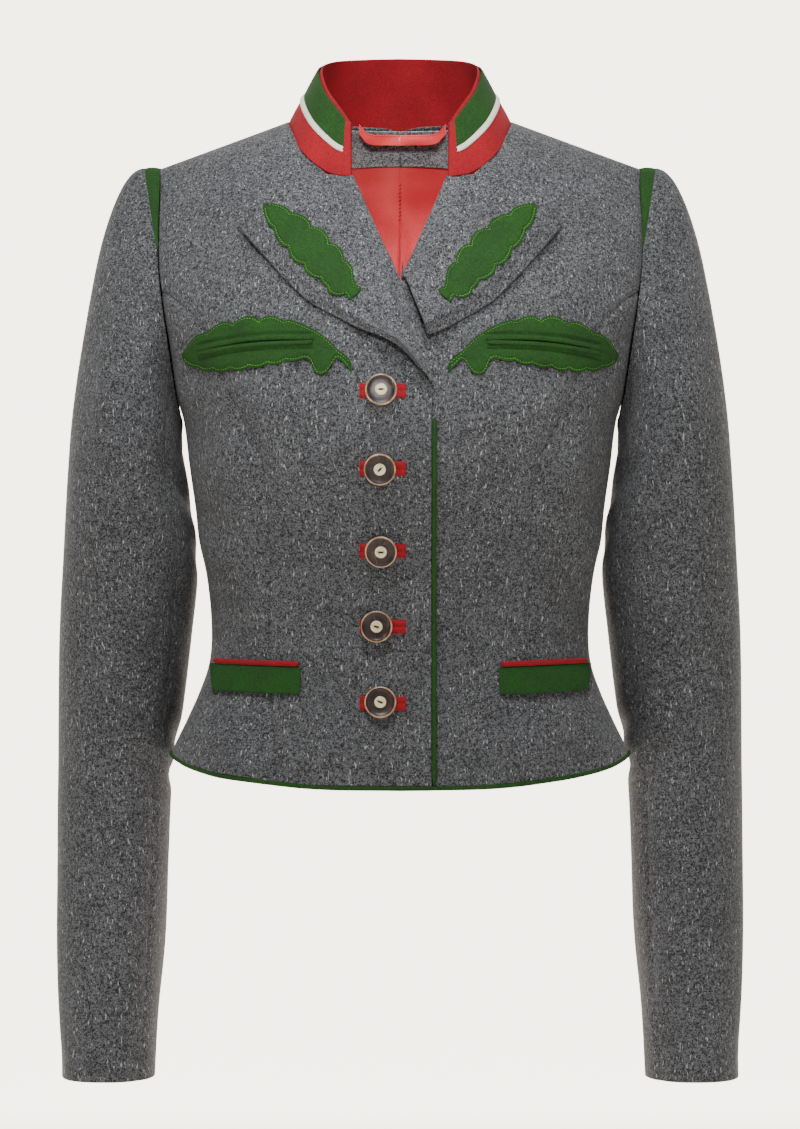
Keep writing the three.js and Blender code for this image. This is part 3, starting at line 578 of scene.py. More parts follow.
def rim_ring(middle, bulge):
    """A grid of points with one more ring round it, a little further out on all four sides."""
    rows, cols = middle.shape[:2]
    ring = np.empty((rows + 2, cols + 2, 3))
    ring[1:-1, 1:-1] = middle
    rowwise = {end: unit(middle[end] - middle[near]) * bulge for end, near in ((0, 1), (-1, -2))}
    colwise = {end: unit(middle[:, end] - middle[:, near]) * bulge for end, near in ((0, 1), (-1, -2))}
    for end in (0, -1):
        ring[end, 1:-1] = middle[end] + rowwise[end]
        ring[1:-1, end] = middle[:, end] + colwise[end]
        for side in (0, -1):
            ring[end, side] = middle[end, side] + (rowwise[end][side] + colwise[side][end]) * CORNER
    return ring


def shell(name, outer, inner, material, bulge=0.4):
    """A closed cloth from two grids of points, with a rounded rim."""
    rows, cols = outer.shape[:2]
    ring = rim_ring((outer + inner) / 2, bulge)
    edge = np.ones((rows + 2, cols + 2), dtype=bool)
    edge[1:-1, 1:-1] = False
    ids_out = np.zeros((rows + 2, cols + 2), dtype=np.int32)
    ids_out[1:-1, 1:-1] = np.arange(rows * cols).reshape(rows, cols)
    ids_in = ids_out + rows * cols
    ids_out[edge] = 2 * rows * cols + np.arange(edge.sum())
    ids_in[edge] = ids_out[edge]
    points = np.concatenate([outer.reshape(-1, 3), inner.reshape(-1, 3), ring[edge]])

    def quads(ids):
        return np.stack([ids[:-1, :-1], ids[:-1, 1:], ids[1:, 1:], ids[1:, :-1]], axis=-1).reshape(-1, 4)

    front, behind = quads(ids_out), quads(ids_in)[:, ::-1]
    r, c = rows // 2, cols // 2
    facing = np.cross(outer[r, c] - outer[r - 1, c], outer[r, c] - outer[r, c - 1])
    if np.dot(facing, outer[r, c] - inner[r, c]) > 0:
        front, behind = front[:, ::-1], behind[:, ::-1]
    return add_mesh(name, points, np.concatenate([front, behind]), [material])


def cut_size(grid, piece):
    """Width, length and area of the flat cloth that a piece was cut from, in metres."""
    over = np.linalg.norm(np.diff(grid, axis=1), axis=-1).sum(axis=1)
    down = np.linalg.norm(np.diff(grid, axis=0), axis=-1).sum(axis=0)
    area = sum(face.area for face in piece.data.polygons) / 2
    width, length = sorted((over.max() * MM, down.max() * MM))
    width = max(width, area / length, NARROWEST)
    return width, length, float(np.clip(area, 0.31 * width * length, width * length))


def sew(name, outer, inner, material, bulge=0.4):
    """Make a cloth piece, hide the solid it stands for, and print the size of its cut."""
    piece = shell(name, outer, inner, material, bulge)
    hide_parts(name.split("_", 1)[1])
    width, length, area = cut_size(outer, piece)
    print(f"{name}: cut {width * 1000:.0f} x {length * 1000:.0f} mm, {area * 1e4:.0f} cm2")


# %% [markdown]
# ## The body panels
# A fitted jacket has a princess seam in each front, so each front is a middle and a side panel, and the back is
# two halves. Rows of a panel follow the shoulder at the top and the hem below, as the pattern piece does. Near
# each seam the cloth dips a little, where the stitching pulls it in.

# %% Rows of a panel


def angle_of(x, z, power):
    return np.arcsin(np.minimum(np.abs(x) / look(TORSO, "half", z), 1) ** (power / 2))


def x_of(angle, z, power):
    return look(TORSO, "half", z) * np.sin(angle) ** (2 / power)


HEM_BLEND_Z = -350
PRINCESS_TOP_Z = -118
NECK_END_Z = -44


def row_z(level, x):
    shoulder = np.clip((level - UNDERARM_Z) / (TOP_LEVEL - UNDERARM_Z), 0, 1)
    hem = ease((HEM_BLEND_Z - level) / (HEM_BLEND_Z - HEM_Z))
    return level + (ridge_z(x) - TOP_LEVEL) * shoulder + look(HEM_RISE, "rise", np.abs(x)) * hem


def edge_angle(level, edge, power):
    x = np.full_like(level, 80.0)
    for _ in range(40):
        x = mix(x, edge(row_z(level, x), level), 0.6)
    return angle_of(x, row_z(level, x), power) * np.where(x < 0, -1, 1)


def row_points(level, angle, back):
    """x and z of the points of rows, from their level and their angle round the body."""
    z = level + 0 * angle
    x = 0 * z
    for _ in range(30):
        x = np.sign(angle) * x_of(np.abs(angle), z, POWERS[back])
        z = mix(z, row_z(level, x), 0.7)
    return x, z


def side_edge(z):
    half = look(TORSO, "half", z)
    return np.where(z > UNDERARM_Z, np.minimum(look(ARMHOLE, "x", z), half), half) - 1e-5


def princess(z):
    return np.where(z > PRINCESS_TOP_Z, side_edge(z), np.minimum(look(PRINCESS, "x", z), side_edge(z)))


def opening_edge(z, overlap):
    return np.where(z > NECK_END_Z, straight(FRONT_NECK, "x", z), np.maximum(-look(ROLL_LINE, "x", z), -overlap))


def back_edge(z, level):
    return np.maximum(NECK_HALF - (TOP_LEVEL - level + 0.3) / SHOULDER_SLOPE, 0.15)


print("shoulder top level:", round(TOP_LEVEL, 1), "mm")

# %% Cut a panel
TOP_ARC = np.array([0, 0.12, 0.22, 0.32, 0.42, 0.5, 0.58, 0.66, 0.733, 0.82, 0.9])
ROW_STEP = 3.4


def spread(count, edge=0.35):
    """Shares from 0 to 1 with two close ones at each end, for a crisp but rounded edge."""
    inner = np.linspace(0, 1, count)
    near = edge / count
    return np.concatenate([[0, near], inner[1:-1], [1 - near, 1]])


def panel_levels(first, last):
    top = TOP_LEVEL - ROUNDING * (1 - np.cos(TOP_ARC))
    rest = np.arange(top[-1] - ROW_STEP, last, -ROW_STEP)
    levels = np.concatenate([top, rest])
    levels = levels[(levels < first) & (levels > last + 1)]
    return np.concatenate([[first, first - 0.7], levels[1:], [last + 0.7, last]])


CLOTH_END = HEM_Z - 1.3
SEAM_HALF = 0.15


def seam_dip(x, z, edges, depth=1.3, width=2.6):
    """How far the cloth sinks beside its seams."""
    return sum(depth * np.exp(-((np.abs(x) - edge(z)) / width) ** 2) for edge in edges)


def make_panel(name, start, stop, cols, first, last=CLOTH_END, back=False, mirror=1, lap=None, seams=(),
               wall=CLOTH, inset=0.0, material=LODEN, extra=None):
    """A panel between two edges, each a function of height and level, from its first level down to its last."""
    level = panel_levels(first, last)
    a = edge_angle(level, start, POWERS[back])[:, None]
    b = edge_angle(level, stop, POWERS[back])[:, None]
    x, z = row_points(level[:, None], mix(a, b, spread(cols)[None, :]), back)
    x = x * mirror
    height = -seam_dip(x, z, seams) * ease((ridge_z(x) - z) / 8) - inset
    if extra is not None:
        height = height + extra(x, z)
    outer = ground(x, z, height, back, lap)
    outer[..., 1] += SEAM_HALF if back else -SEAM_HALF
    sew(name, outer, outer - torso_normal(x, z, back) * wall, material, bulge=0.25)


def side_seam(z, level):
    return side_edge(z)


SIDES = [("right", -1, EDGE_X), ("left", 1, -UNDERLAP_X)]
for side, mirror, overlap in SIDES:
    make_panel(f"cloth_front_{side}_centre", lambda z, level: opening_edge(z, overlap),
               lambda z, level: princess(z) - SEAM_HALF, 52, TOP_LEVEL, mirror=mirror, lap=(mirror < 0),
               seams=[princess])
    make_panel(f"cloth_front_{side}_side", lambda z, level: princess(z) + SEAM_HALF, side_seam, 26, -89,
               mirror=mirror, lap=False, seams=[princess, side_edge])
    make_panel(f"cloth_back_{side}", back_edge, side_seam, 54, TOP_LEVEL, back=True, mirror=mirror,
               seams=[side_edge, lambda z: 0 * z])

# %% [markdown]
# ## Lining
# Through the open neck the coral satin shows. It is cut full, with a pleat down the middle of the back, tacked
# shut with small slanting stitches at the top. Below the tacks the pleat falls open and the satin hangs in soft
# folds. It is one cut in each half, joined under the pleat.

# %% Satin folds
SATIN_FOLDS = [
    (2.5, -66, 3.5, -190, 3.0, 1.6), (-3.5, -110, -5, -200, 4.0, -1.4), (10, -70, 14, -190, 6, -1.1),
    (18, -66, 24, -170, 5, 0.9), (-14, -60, -12, -170, 6, 1.1), (-22, -50, -25, -160, 7, -1.0),
    (30, -44, 34, -140, 7, -0.9), (-34, -44, -38, -150, 8, 0.7), (44, -50, 46, -160, 8, 0.8),
    (-48, -60, -52, -190, 8, -0.7), (60, -80, 64, -240, 9, 0.7), (0, -220, 2, -400, 4, 1.3),
    (-28, -210, -30, -380, 10, 0.7), (32, -230, 28, -390, 10, -0.8), (-70, -150, -74, -360, 10, 0.8),
    (80, -170, 84, -380, 10, -0.8),
]


def satin_height(x, z):
    return creases(SATIN_FOLDS, x, z) * ease((-26 - z) / 14) * 1.9


for side, mirror, overlap in SIDES:
    make_panel(f"cloth_lining_back_{side}", lambda z, level: 0 * z + 0.3, lambda z, level: side_edge(z) - 1,
               44, -13, -426, back=True, mirror=mirror, wall=0.5, inset=3.9, material=SATIN, extra=satin_height)

# %% [markdown]
# ## Sleeves
# A two-piece sleeve is set into the armhole over a little padding, so it leaves the shoulder smoothly and turns
# down in a quarter of a circle. Its front and back seams show as faint lines. The arm bends slightly, which
# crumples the cloth inside the elbow and leaves long soft folds above and below it.

# %% Sleeve form
CAP_TOP = -31.6
FRONT_SEAM = 2.4
BACK_SEAM = 4.01
SLEEVE_POWER = 2.2
WEDGE_WIDTH = 10.5
WEDGE_END_Z = -90
ARMHOLE_GAP = -0.5
SEAM = 0.3
ARC = 45
CAP_END_Z = -225
CORE_X = 190.0
CORE_Y = 8
CAP_CORE_Z = -130
RIGHT_SHIFT = 7.0
SLEEVE_CREASES = [
    # angle, z, to angle, to z, width in millimetres, depth; an angle of 1 counts as ARC millimetres
    (1.7, -424, 2.35, -436, 7, -2.0), (2.0, -448, 2.9, -452, 8, -1.6), (1.5, -440, 2.1, -452, 6, -1.2),
    (2.6, -404, 3.4, -418, 8, -1.4), (2.9, -436, 3.6, -440, 7, -1.5), (1.9, -470, 2.8, -480, 9, -1.0),
    (2.5, -236, 3.3, -262, 9, -1.8), (1.9, -218, 2.6, -250, 10, -1.2), (2.7, -274, 3.4, -296, 9, -1.1),
    (2.2, -300, 2.7, -350, 10, -0.8), (0.9, -300, 1.2, -390, 13, -0.8), (1.5, -320, 1.9, -380, 12, 0.9),
    (0.7, -120, 0.9, -230, 13, -0.8), (0.2, -130, 0.1, -230, 14, 0.7), (-0.6, -120, -0.8, -250, 13, -0.8),
    (1.0, -490, 1.3, -580, 13, -0.7), (0.2, -510, 0.4, -600, 14, 0.7), (1.8, -520, 2.1, -590, 11, 0.8),
    (1.2, -604, 1.5, -648, 11, 0.9), (2.1, -600, 2.3, -648, 10, -0.9), (0.3, -612, 0.2, -648, 12, -0.8),
    (-0.5, -420, -1.4, -430, 9, -1.0), (-0.9, -448, -1.7, -446, 8, -0.9), (-1.2, -260, -1.9, -300, 11, -0.9),
    (-1.0, -520, -1.2, -610, 13, 0.8), (-1.8, -480, -2.0, -560, 12, -0.8), (3.4, -520, 3.6, -600, 12, 0.9),
    (-1.3, -150, -1.5, -220, 11, -1.0), (1.3, -130, 1.6, -200, 10, -1.1),
]


def wedge_width(z):
    return WEDGE_WIDTH * np.clip((z - WEDGE_END_Z) / (CAP_TOP - WEDGE_END_Z), 0, 1)


def armhole_point(angle):
    middle = (CAP_TOP + UNDERARM_Z) / 2
    z = middle + (CAP_TOP - middle) * np.cos(angle)
    on = np.minimum(z, ridge_z(SHOULDER_X) - 0.02)
    x = side_edge(on)
    y = np.where(np.sin(angle) < 0, torso(x, on, True)[..., 1], torso(x, on, False)[..., 1])
    return np.stack([x, y, z], axis=-1)


def sleeve_ring(angle, z):
    outer, inner = look(SLEEVE, "outer", z), look(SLEEVE, "inner", z)

    def squared(value):
        return np.sign(value) * np.abs(value) ** (2 / SLEEVE_POWER)

    x = (outer + inner) / 2 + (outer - inner) / 2 * squared(np.cos(angle))
    y = look(SLEEVE, "y", z) - look(SLEEVE, "depth", z) * squared(np.sin(angle))
    return np.stack([x, y, z + 0 * x], axis=-1)


def sleeve_cap(angle, t):
    """From the armhole to the first full ring, along a smooth curve."""
    start = armhole_point(angle)
    top, low = np.maximum(np.cos(angle), 0) ** 2, np.maximum(-np.cos(angle), 0) ** 2
    wedge = wedge_width(start[..., 2])
    start[..., 0] += SEAM + ARMHOLE_GAP + np.where(wedge > 0, wedge + SEAM, 0)
    end = sleeve_ring(angle, np.full_like(angle, CAP_END_Z))
    side, front = np.sin(angle) ** 2, np.sign(np.sin(angle))
    leave = np.stack([26 * top + 8 * side, -9 * side * front, -1.5 * top - 12 * side - 7 * low], axis=-1)
    arrive = np.stack([-9 * top - 2 * side, 0 * top, 95 * top + 60 * side + 7 * low], axis=-1)
    t = t[..., None]
    return (start * (1 - t) ** 3 + 3 * (start + leave) * t * (1 - t) ** 2 + 3 * (end + arrive) * t * t * (1 - t)
            + end * t**3)


CAP_ROWS = np.concatenate([[0, 0.006], np.linspace(0.03, 1, 44)])
ARM_ROWS = np.concatenate([np.arange(CAP_END_Z - 4, -645, -3.6), [-647.2, -648]])


def make_sleeve(name, mirror, start, stop, cols):
    angle = mix(start + SEAM_HALF / ARC, stop - SEAM_HALF / ARC, spread(cols))
    cap = sleeve_cap(*np.broadcast_arrays(angle[None, :], CAP_ROWS[:, None]))
    grid = np.concatenate([cap, sleeve_ring(angle[None, :], ARM_ROWS[:, None])])
    z = grid[..., 2]
    core_z = np.where(z > CAP_END_Z, CAP_CORE_Z, z - 6)
    core = np.stack([CORE_X + 0 * z, CORE_Y + 0 * z, core_z], axis=-1)
    normal = grid_normals(grid, grid - core)
    folds = creases(SLEEVE_CREASES, angle[None, :] * ARC + 0 * z, z + (RIGHT_SHIFT if mirror < 0 else 0))
    rows = np.arange(len(grid))[:, None]
    near_head = ease(rows / 16) * 0.9 + 0.1
    seam = 0.8 * (bell((angle - start) * ARC / 3) + bell((angle - stop) * ARC / 3))
    pucker = 0.35 * np.sin(angle * 46 + 2 * np.sin(angle * 9)) * bell((rows - 6) / 5)
    soft = CREASE_GAIN * folds * near_head + drift(angle * ARC, z) * near_head
    outer = grid + normal * (soft - seam * ease(rows / 6) + pucker)[..., None]
    sew(name, outer * (mirror, 1, 1), (outer - normal * CLOTH) * (mirror, 1, 1), LODEN)


SLEEVE_CREASES = [(a * ARC, z0, b * ARC, z1, w, d) for a, z0, b, z1, w, d in SLEEVE_CREASES]
for side, mirror, overlap in SIDES:
    make_sleeve(f"cloth_sleeve_{side}_upper", mirror, BACK_SEAM - 2 * math.pi, FRONT_SEAM, 76)
    make_sleeve(f"cloth_sleeve_{side}_under", mirror, FRONT_SEAM, BACK_SEAM, 30)

# %% [markdown]
# ## Green wedge at the head of the sleeve
# A narrow wedge of green felt is let in between shoulder and sleeve. It is widest on top of the shoulder and
# runs out to nothing in front and behind.

# %% Shoulder wedges
WEDGE_REACH = 1.23
WEDGE_WALL = 1.2
for side, mirror, overlap in SIDES:
    angle = mix(-WEDGE_REACH, WEDGE_REACH, spread(60))
    rim = armhole_point(angle)
    inward = unit(np.stack([0 * angle, np.sin(angle) * 0.7, -np.cos(angle)], axis=-1))
    across = spread(5)[None, :, None]
    width = wedge_width(rim[:, 2])[:, None, None]
    arch = 0.8 * np.sin(np.pi * across) * np.minimum(width / 4, 1)
    outer = rim[:, None, :] - inward[:, None, :] * (arch - 0.1)
    outer = outer + np.array([1, 0, 0]) * mix(-0.4, width + 0.1, across)
    inner = outer + inward[:, None, :] * WEDGE_WALL
    sew(f"felt_shoulder_wedge_{side}", outer * (mirror, 1, 1), inner * (mirror, 1, 1), GREEN, bulge=0.15)

# %% [markdown]
# ## Lapels
# A lapel is the front's own cloth turned back over a soft roll. The fold is never pressed flat, so it is drawn as
# half a small circle round the roll line. Further out the lapel floats a few millimetres over the chest. Near the
# break, where the fold ends, its lower edge stands away and throws a shadow.

# %% Lapel form
LIFT = 0.8
ROLL_TOP = -44.6
ROLL_BREAK = -188
ROLL_RADIUS = 1.9
LAPEL_BOW = 9
LAPEL_PUFF = 6
LAPEL_STAND = 6.5
LAPELS = {"right": (-1, 0.96, 0.96), "left": (1, 0.48, 0.74)}
LAPEL_CREASES = [
    (38, -60, 60, -84, 8, 0.7), (24, -100, 52, -112, 9, -0.7), (70, -70, 90, -86, 8, -0.6),
    (6, -130, 30, -136, 8, 0.8), (-6, -150, 8, -158, 7, -0.7), (48, -96, 66, -98, 8, 0.5),
    (-8, -120, 6, -124, 7, -0.6),
]


def lapel_place(side, row, u):
    """x, z and height of a lapel's underside."""
    mirror, roll_end, edge_end = LAPELS[side]
    roll_z = mix(ROLL_TOP, ROLL_BREAK, row * roll_end)
    t = row * edge_end
    bow = LAPEL_BOW * np.sin(np.pi * u) * (1 - t) ** 3 * (0.4 + u)
    x = mix(-look(ROLL_LINE, "x", roll_z), look(LAPEL_EDGE, "x", t), u)
    z = mix(roll_z, look(LAPEL_EDGE, "z", t), u) + bow
    puff = LAPEL_PUFF * ease((1 - u) / 0.15) ** 0.8 * ease(u * 5)
    lift = LAPEL_STAND * ease(u * 1.1) ** 1.4 * ease((t - 0.56) / 0.26) * ease((1.04 - t) / 0.16)
    border = 1.2 * ease((u - 0.5) / 0.4) + 5 * (1 - ease(row / 0.32)) * ease(u * 2)
    pressed = 0.9 * bell((u - 0.93) / 0.018) + 0.9 * bell((row - 0.045) / 0.014)
    height = mix(2 * ROLL_RADIUS - CLOTH, LIFT, ease(u * 2.5)) + puff + lift + border - pressed
    height = height + creases(LAPEL_CREASES, x, z) * ease(u * 4) * ease((1 - u) * 5 + 0.3)
    return x * mirror, z, height


def lapel_point(side, row, u, extra):
    x, z, height = lapel_place(side, row, u)
    return ground(x, z, height + extra, lap=(side == "right"))


def lapel_grids(side):
    mirror, roll_end, edge_end = LAPELS[side]
    row = spread(96)[:, None]
    flat = spread(48)[None, 1:]
    turn = np.radians(np.linspace(-80, 90, 12))[None, :, None]
    faces = []
    for extra, reach in ((CLOTH, ROLL_RADIUS + CLOTH / 2), (0.0, ROLL_RADIUS - CLOTH / 2)):
        sheet = lapel_point(side, row, flat, extra)
        x, z, _ = lapel_place(side, row, 0 * row)
        foot = ground(x, z, -CLOTH / 2 + ROLL_RADIUS, lap=(side == "right"))
        normal = torso_normal(x, z, False)
        along = np.gradient(foot, axis=0)
        inward = unit(np.cross(along, normal))
        inward *= np.where(inward[..., :1] * mirror > 0, -1, 1)
        roll = foot + reach * (inward * np.cos(turn) + normal * np.sin(turn))
        faces.append(np.concatenate([roll, sheet], axis=1))
    return faces


for side in LAPELS:
    outer, inner = lapel_grids(side)
    sew(f"cloth_lapel_{side}", outer, inner, LODEN, 0.6)


def on_lapel(side, x, z):
    """Height of the lapel's upper face at a place on the jacket, found by walking its two edges."""
    row, u = np.full_like(x, 0.3), np.full_like(x, 0.5)
    step = 1e-3
    for _ in range(14):
        px, pz, _ = lapel_place(side, row, u)
        ax, az, _ = lapel_place(side, row + step, u)
        bx, bz, _ = lapel_place(side, row, u + step)
        a, b, c, d = (ax - px) / step, (bx - px) / step, (az - pz) / step, (bz - pz) / step
        det = a * d - b * c
        row = np.clip(row + 0.8 * ((x - px) * d - (z - pz) * b) / det, 0, 1)
        u = np.clip(u + 0.8 * ((z - pz) * a - (x - px) * c) / det, 0.02, 1)
    return lapel_place(side, row, u)[2] + CLOTH


# %% [markdown]
# ## Thread
# A stitch is a short bead of thread lying half sunk in the cloth. A row of them is one piece: each bead is a
# small capsule set along a line on the cloth. Stitches that show on felt pull a groove, which the felt has too.

# %% Stitch helper
BEAD = [(-0.5, 0.25), (-0.36, 0.8), (0.0, 1.0), (0.36, 0.8), (0.5, 0.25)]
BEAD_SIDES = 6


def turned_faces(rings, sides, base=0):
    """Faces of a closed turned form: quads from ring to ring, then a cap at each end."""
    faces = []
    for start in range(base, base + (rings - 1) * sides, sides):
        for k in range(sides):
            a, b = start + k, start + (k + 1) % sides
            faces.append((a, b, b + sides, a + sides))
    last = base + (rings - 1) * sides
    return faces + [tuple(reversed(range(base, base + sides))), tuple(range(last, last + sides))]


def stitches(name, starts, ends, lift, thick, material):
    """One bead of thread for each pair of points; lift is the direction out of the cloth."""
    starts, ends = np.asarray(starts), np.asarray(ends)
    along, middle = ends - starts, (starts + ends) / 2
    over = unit(np.cross(along, lift))
    angle = np.linspace(0, 2 * np.pi, BEAD_SIDES, endpoint=False)[None, :, None]
    ring = over[:, None, :] * np.cos(angle) + lift[:, None, :] * np.sin(angle)
    points = [middle[:, None, :] + along[:, None, :] * at + ring * thick / 2 * size for at, size in BEAD]
    points = np.stack(points, axis=1).reshape(-1, 3)
    faces = []
    for bead in range(len(starts)):
        faces += turned_faces(len(BEAD), BEAD_SIDES, bead * len(BEAD) * BEAD_SIDES)
    return add_mesh(name, points, faces, [material])


def spaced(line, gap, length):
    """Starts and ends of stitches along a line of points."""
    run = np.concatenate([[0], np.cumsum(np.linalg.norm(np.diff(line, axis=0), axis=1))])
    at = np.arange(gap / 2, run[-1] - length, gap)
    pick = [np.stack([np.interp(s, run, line[:, k]) for k in range(3)], axis=-1) for s in (at, at + length)]
    return pick[0], pick[1]


# %% [markdown]
# ## Felt oak leaves
# The leaves are cut from green felt with a pinked edge and stitched down about a millimetre inside it. The outline
# is drawn as a formula: a blade that narrows at both ends, big round lobes, and the fine teeth of the shears.
# A leaf over the breast pocket also has a round acorn on its lower side.

# %% Leaf outline


def lobes(u, count, depth, first=0.0):
    wave = np.abs(np.sin(np.pi * count * np.clip((u - first) / (1 - first), 0, 1))) ** 0.6
    return 1 - depth * (1 - wave) * ease((u - first) / 0.08 + 0.5)


def blade(u, lean):
    """A lean over 1 puts the widest part nearer the tip."""
    return np.sin(np.pi * np.clip((u - 0.06) / 0.94, 0, 1) ** lean) ** 0.55


STALK_HALF = 2.4
LEAVES = {
    # lobes: how many, how deep, where they start; skew and lean: where the arch and the widest part lie
    "lapel": dict(stem=(28, -129.5), tip=(86.5, -70), up=14.5, down=13.5, arch=1.5, skew=1, lean=0.85,
                  up_lobes=(5, 0.26, 0.1), down_lobes=(5, 0.24, 0.12), nut=4.5, nut_at=0.13, foot=3.2),
    "breast": dict(stem=(31.5, -175), tip=(145.5, -162), up=18.5, down=18, arch=15, skew=0.65, lean=1.4,
                   up_lobes=(4, 0.22, 0.42), down_lobes=(7, 0.13, 0.28), nut=11, nut_at=0.17, foot=0.4),
}


def leaf_reach(u, cut):
    """Distance from the middle line of a leaf to its upper and lower edge."""
    pinking = 0.28 * np.sin(2 * np.pi * u * 62)
    foot = cut["foot"] * bell((u - 0.02) / 0.05)
    up, down = (np.maximum(cut[edge] * blade(u, cut["lean"]) * lobes(u, *cut[f"{edge}_lobes"]), STALK_HALF)
                for edge in ("up", "down"))
    acorn = cut["nut"] * np.exp(-(np.abs(u - cut["nut_at"]) / 0.058) ** 3.2)
    end = np.sqrt(np.clip((1 - u) / 0.012, 0, 1)) * np.sqrt(np.clip(u / 0.01, 0, 1)) * 0.75 + 0.25
    return (up + foot + pinking) * end, (down + foot + acorn + pinking) * end


def leaf_flat(u, v, cut, mirror):
    """x and z of a leaf; v runs from 1 at the upper edge to -1 at the lower."""
    stem, tip = np.array(cut["stem"]) * (mirror, 1), np.array(cut["tip"]) * (mirror, 1)
    length = np.linalg.norm(tip - stem)
    axis = (tip - stem) / length
    lift = np.array([-axis[1], axis[0]])
    lift = lift if lift[1] > 0 else -lift
    up, down = leaf_reach(u, cut)
    across = cut["arch"] * np.sin(np.pi * u ** cut["skew"]) + np.where(v > 0, v * up, v * down)
    return stem[0] + axis[0] * u * length + lift[0] * across, stem[1] + axis[1] * u * length + lift[1] * across


print("felt leaves:", ", ".join(LEAVES))

# %% Cut and stitch the leaves
FELT = 1.3
SLIT_INNER = (57, -155.6)
SLIT_OUTER = (131.5, -160.3)
SLIT_ARCH = 2.5
STITCH_INSET = 1.5


def slit_line(t, mirror):
    """The pocket mouth in the breast leaf, from its inner end to its outer end."""
    x, z = (mix(a, b, t) for a, b in zip(SLIT_INNER, SLIT_OUTER))
    return x * mirror, z + SLIT_ARCH * np.sin(np.pi * t)


def leaf_relief(u, v, cut, x, z):
    """Height of the felt's face: a stitched groove near the edge, a soft vein, and the dips beside the slit."""
    up, down = leaf_reach(u, cut)
    inside = (1 - np.abs(v)) * np.where(v > 0, up, down)
    vein = 0.3 * bell(v * 12 / 1.1) * ease((0.95 - u) / 0.1)
    relief = 0.45 * ease(inside / 6) - 0.75 * bell((inside - 1.7) / 0.7) - vein
    if cut is LEAVES["breast"]:
        out = np.abs(x)
        share = np.clip((out - SLIT_INNER[0]) / (SLIT_OUTER[0] - SLIT_INNER[0]), 0, 1)
        away = z - slit_line(share, 1)[1]
        ends = ease((out - SLIT_INNER[0] + 3) / 4) * ease((SLIT_OUTER[0] + 3.5 - out) / 4)
        relief = relief - (1.5 * bell((np.abs(away) - 5.0) / 0.8) + 1.2 * bell(away / 1.2)) * ends
    return relief


def leaf_base(kind, side, x, z):
    return on_lapel(side, x, z) + 0.3 if kind == "lapel" else LIFT


def stitch_leaf(kind, side, mirror, cut, edge, sign):
    run = np.linspace(0.015, 0.985, 400)
    reach = leaf_reach(run, cut)[0 if sign > 0 else 1]
    x, z = leaf_flat(run, sign * (1 - STITCH_INSET / np.maximum(reach, 1.8)), cut, mirror)
    line = ground(x, z, leaf_base(kind, side, x, z) + FELT - 0.05, lap=(side == "right"))
    a, b = spaced(line, 2.3, 1.5)
    lift = np.tile(torso_normal(np.array([mirror * 75.0]), np.array([-120.0]), False)[0], (len(a), 1))
    stitches(f"thread_leaf_{kind}_{side}_{edge}", a, b, lift, 0.45, GREEN_THREAD)


for side, mirror, overlap in SIDES:
    for kind, cut in LEAVES.items():
        u, v = spread(150 if kind == "lapel" else 190)[:, None], np.linspace(1, -1, 33)[None, :]
        x, z = leaf_flat(u, v, cut, mirror)
        base = leaf_base(kind, side, x, z)
        lap = side == "right"
        face = ground(x, z, base + FELT + leaf_relief(u, v, cut, x, z), lap=lap)
        sew(f"felt_leaf_{kind}_{side}", face, ground(x, z, base, lap=lap), GREEN, 0.12)
        for edge, sign in (("upper", 1), ("lower", -1)):
            stitch_leaf(kind, side, mirror, cut, edge, sign)

# %% [markdown]
# ## Folded strips: piping, welts and cords
# Piping, the pocket lips and the collar's white cord are all made the same way: a narrow strip is folded round,
# and its two cut edges are caught in the seam. So each is one thin cloth bent nearly into a tube, with its open
# side facing the seam.

# %% Folded strip helper
OPEN_AT = 22
STRIP_WALL = 0.45


def folded(name, centre, out, across, half_out, half_across, material, twist=0.0):
    """A strip folded round a line of points; out and across are unit directions at each point."""
    angle = np.radians(np.linspace(OPEN_AT - 180, 180 - OPEN_AT, 20))[None, :, None]
    at = np.arange(len(centre))
    taper = np.sqrt(np.clip(np.minimum(at, at[::-1]) / 2 + 0.35, 0, 1))[:, None, None]
    wave = 1 + twist * np.sin(at * 1.3)[:, None, None]
    c, o, s = centre[:, None, :], out[:, None, :] * np.cos(angle), across[:, None, :] * np.sin(angle)
    outer = c + (o * half_out * wave + s * half_across) * taper
    inner = c + (o * (half_out - STRIP_WALL) + s * (half_across - STRIP_WALL)) * taper
    sew(name, outer, inner, material, bulge=0.1)


def along_front(x, z, height, lap=None):
    """Line on the front with the directions out of it and across it."""
    line = ground(x, z, height, lap=lap)
    out = torso_normal(x, z, False)
    return line, out, unit(np.cross(np.gradient(line, axis=0), out))


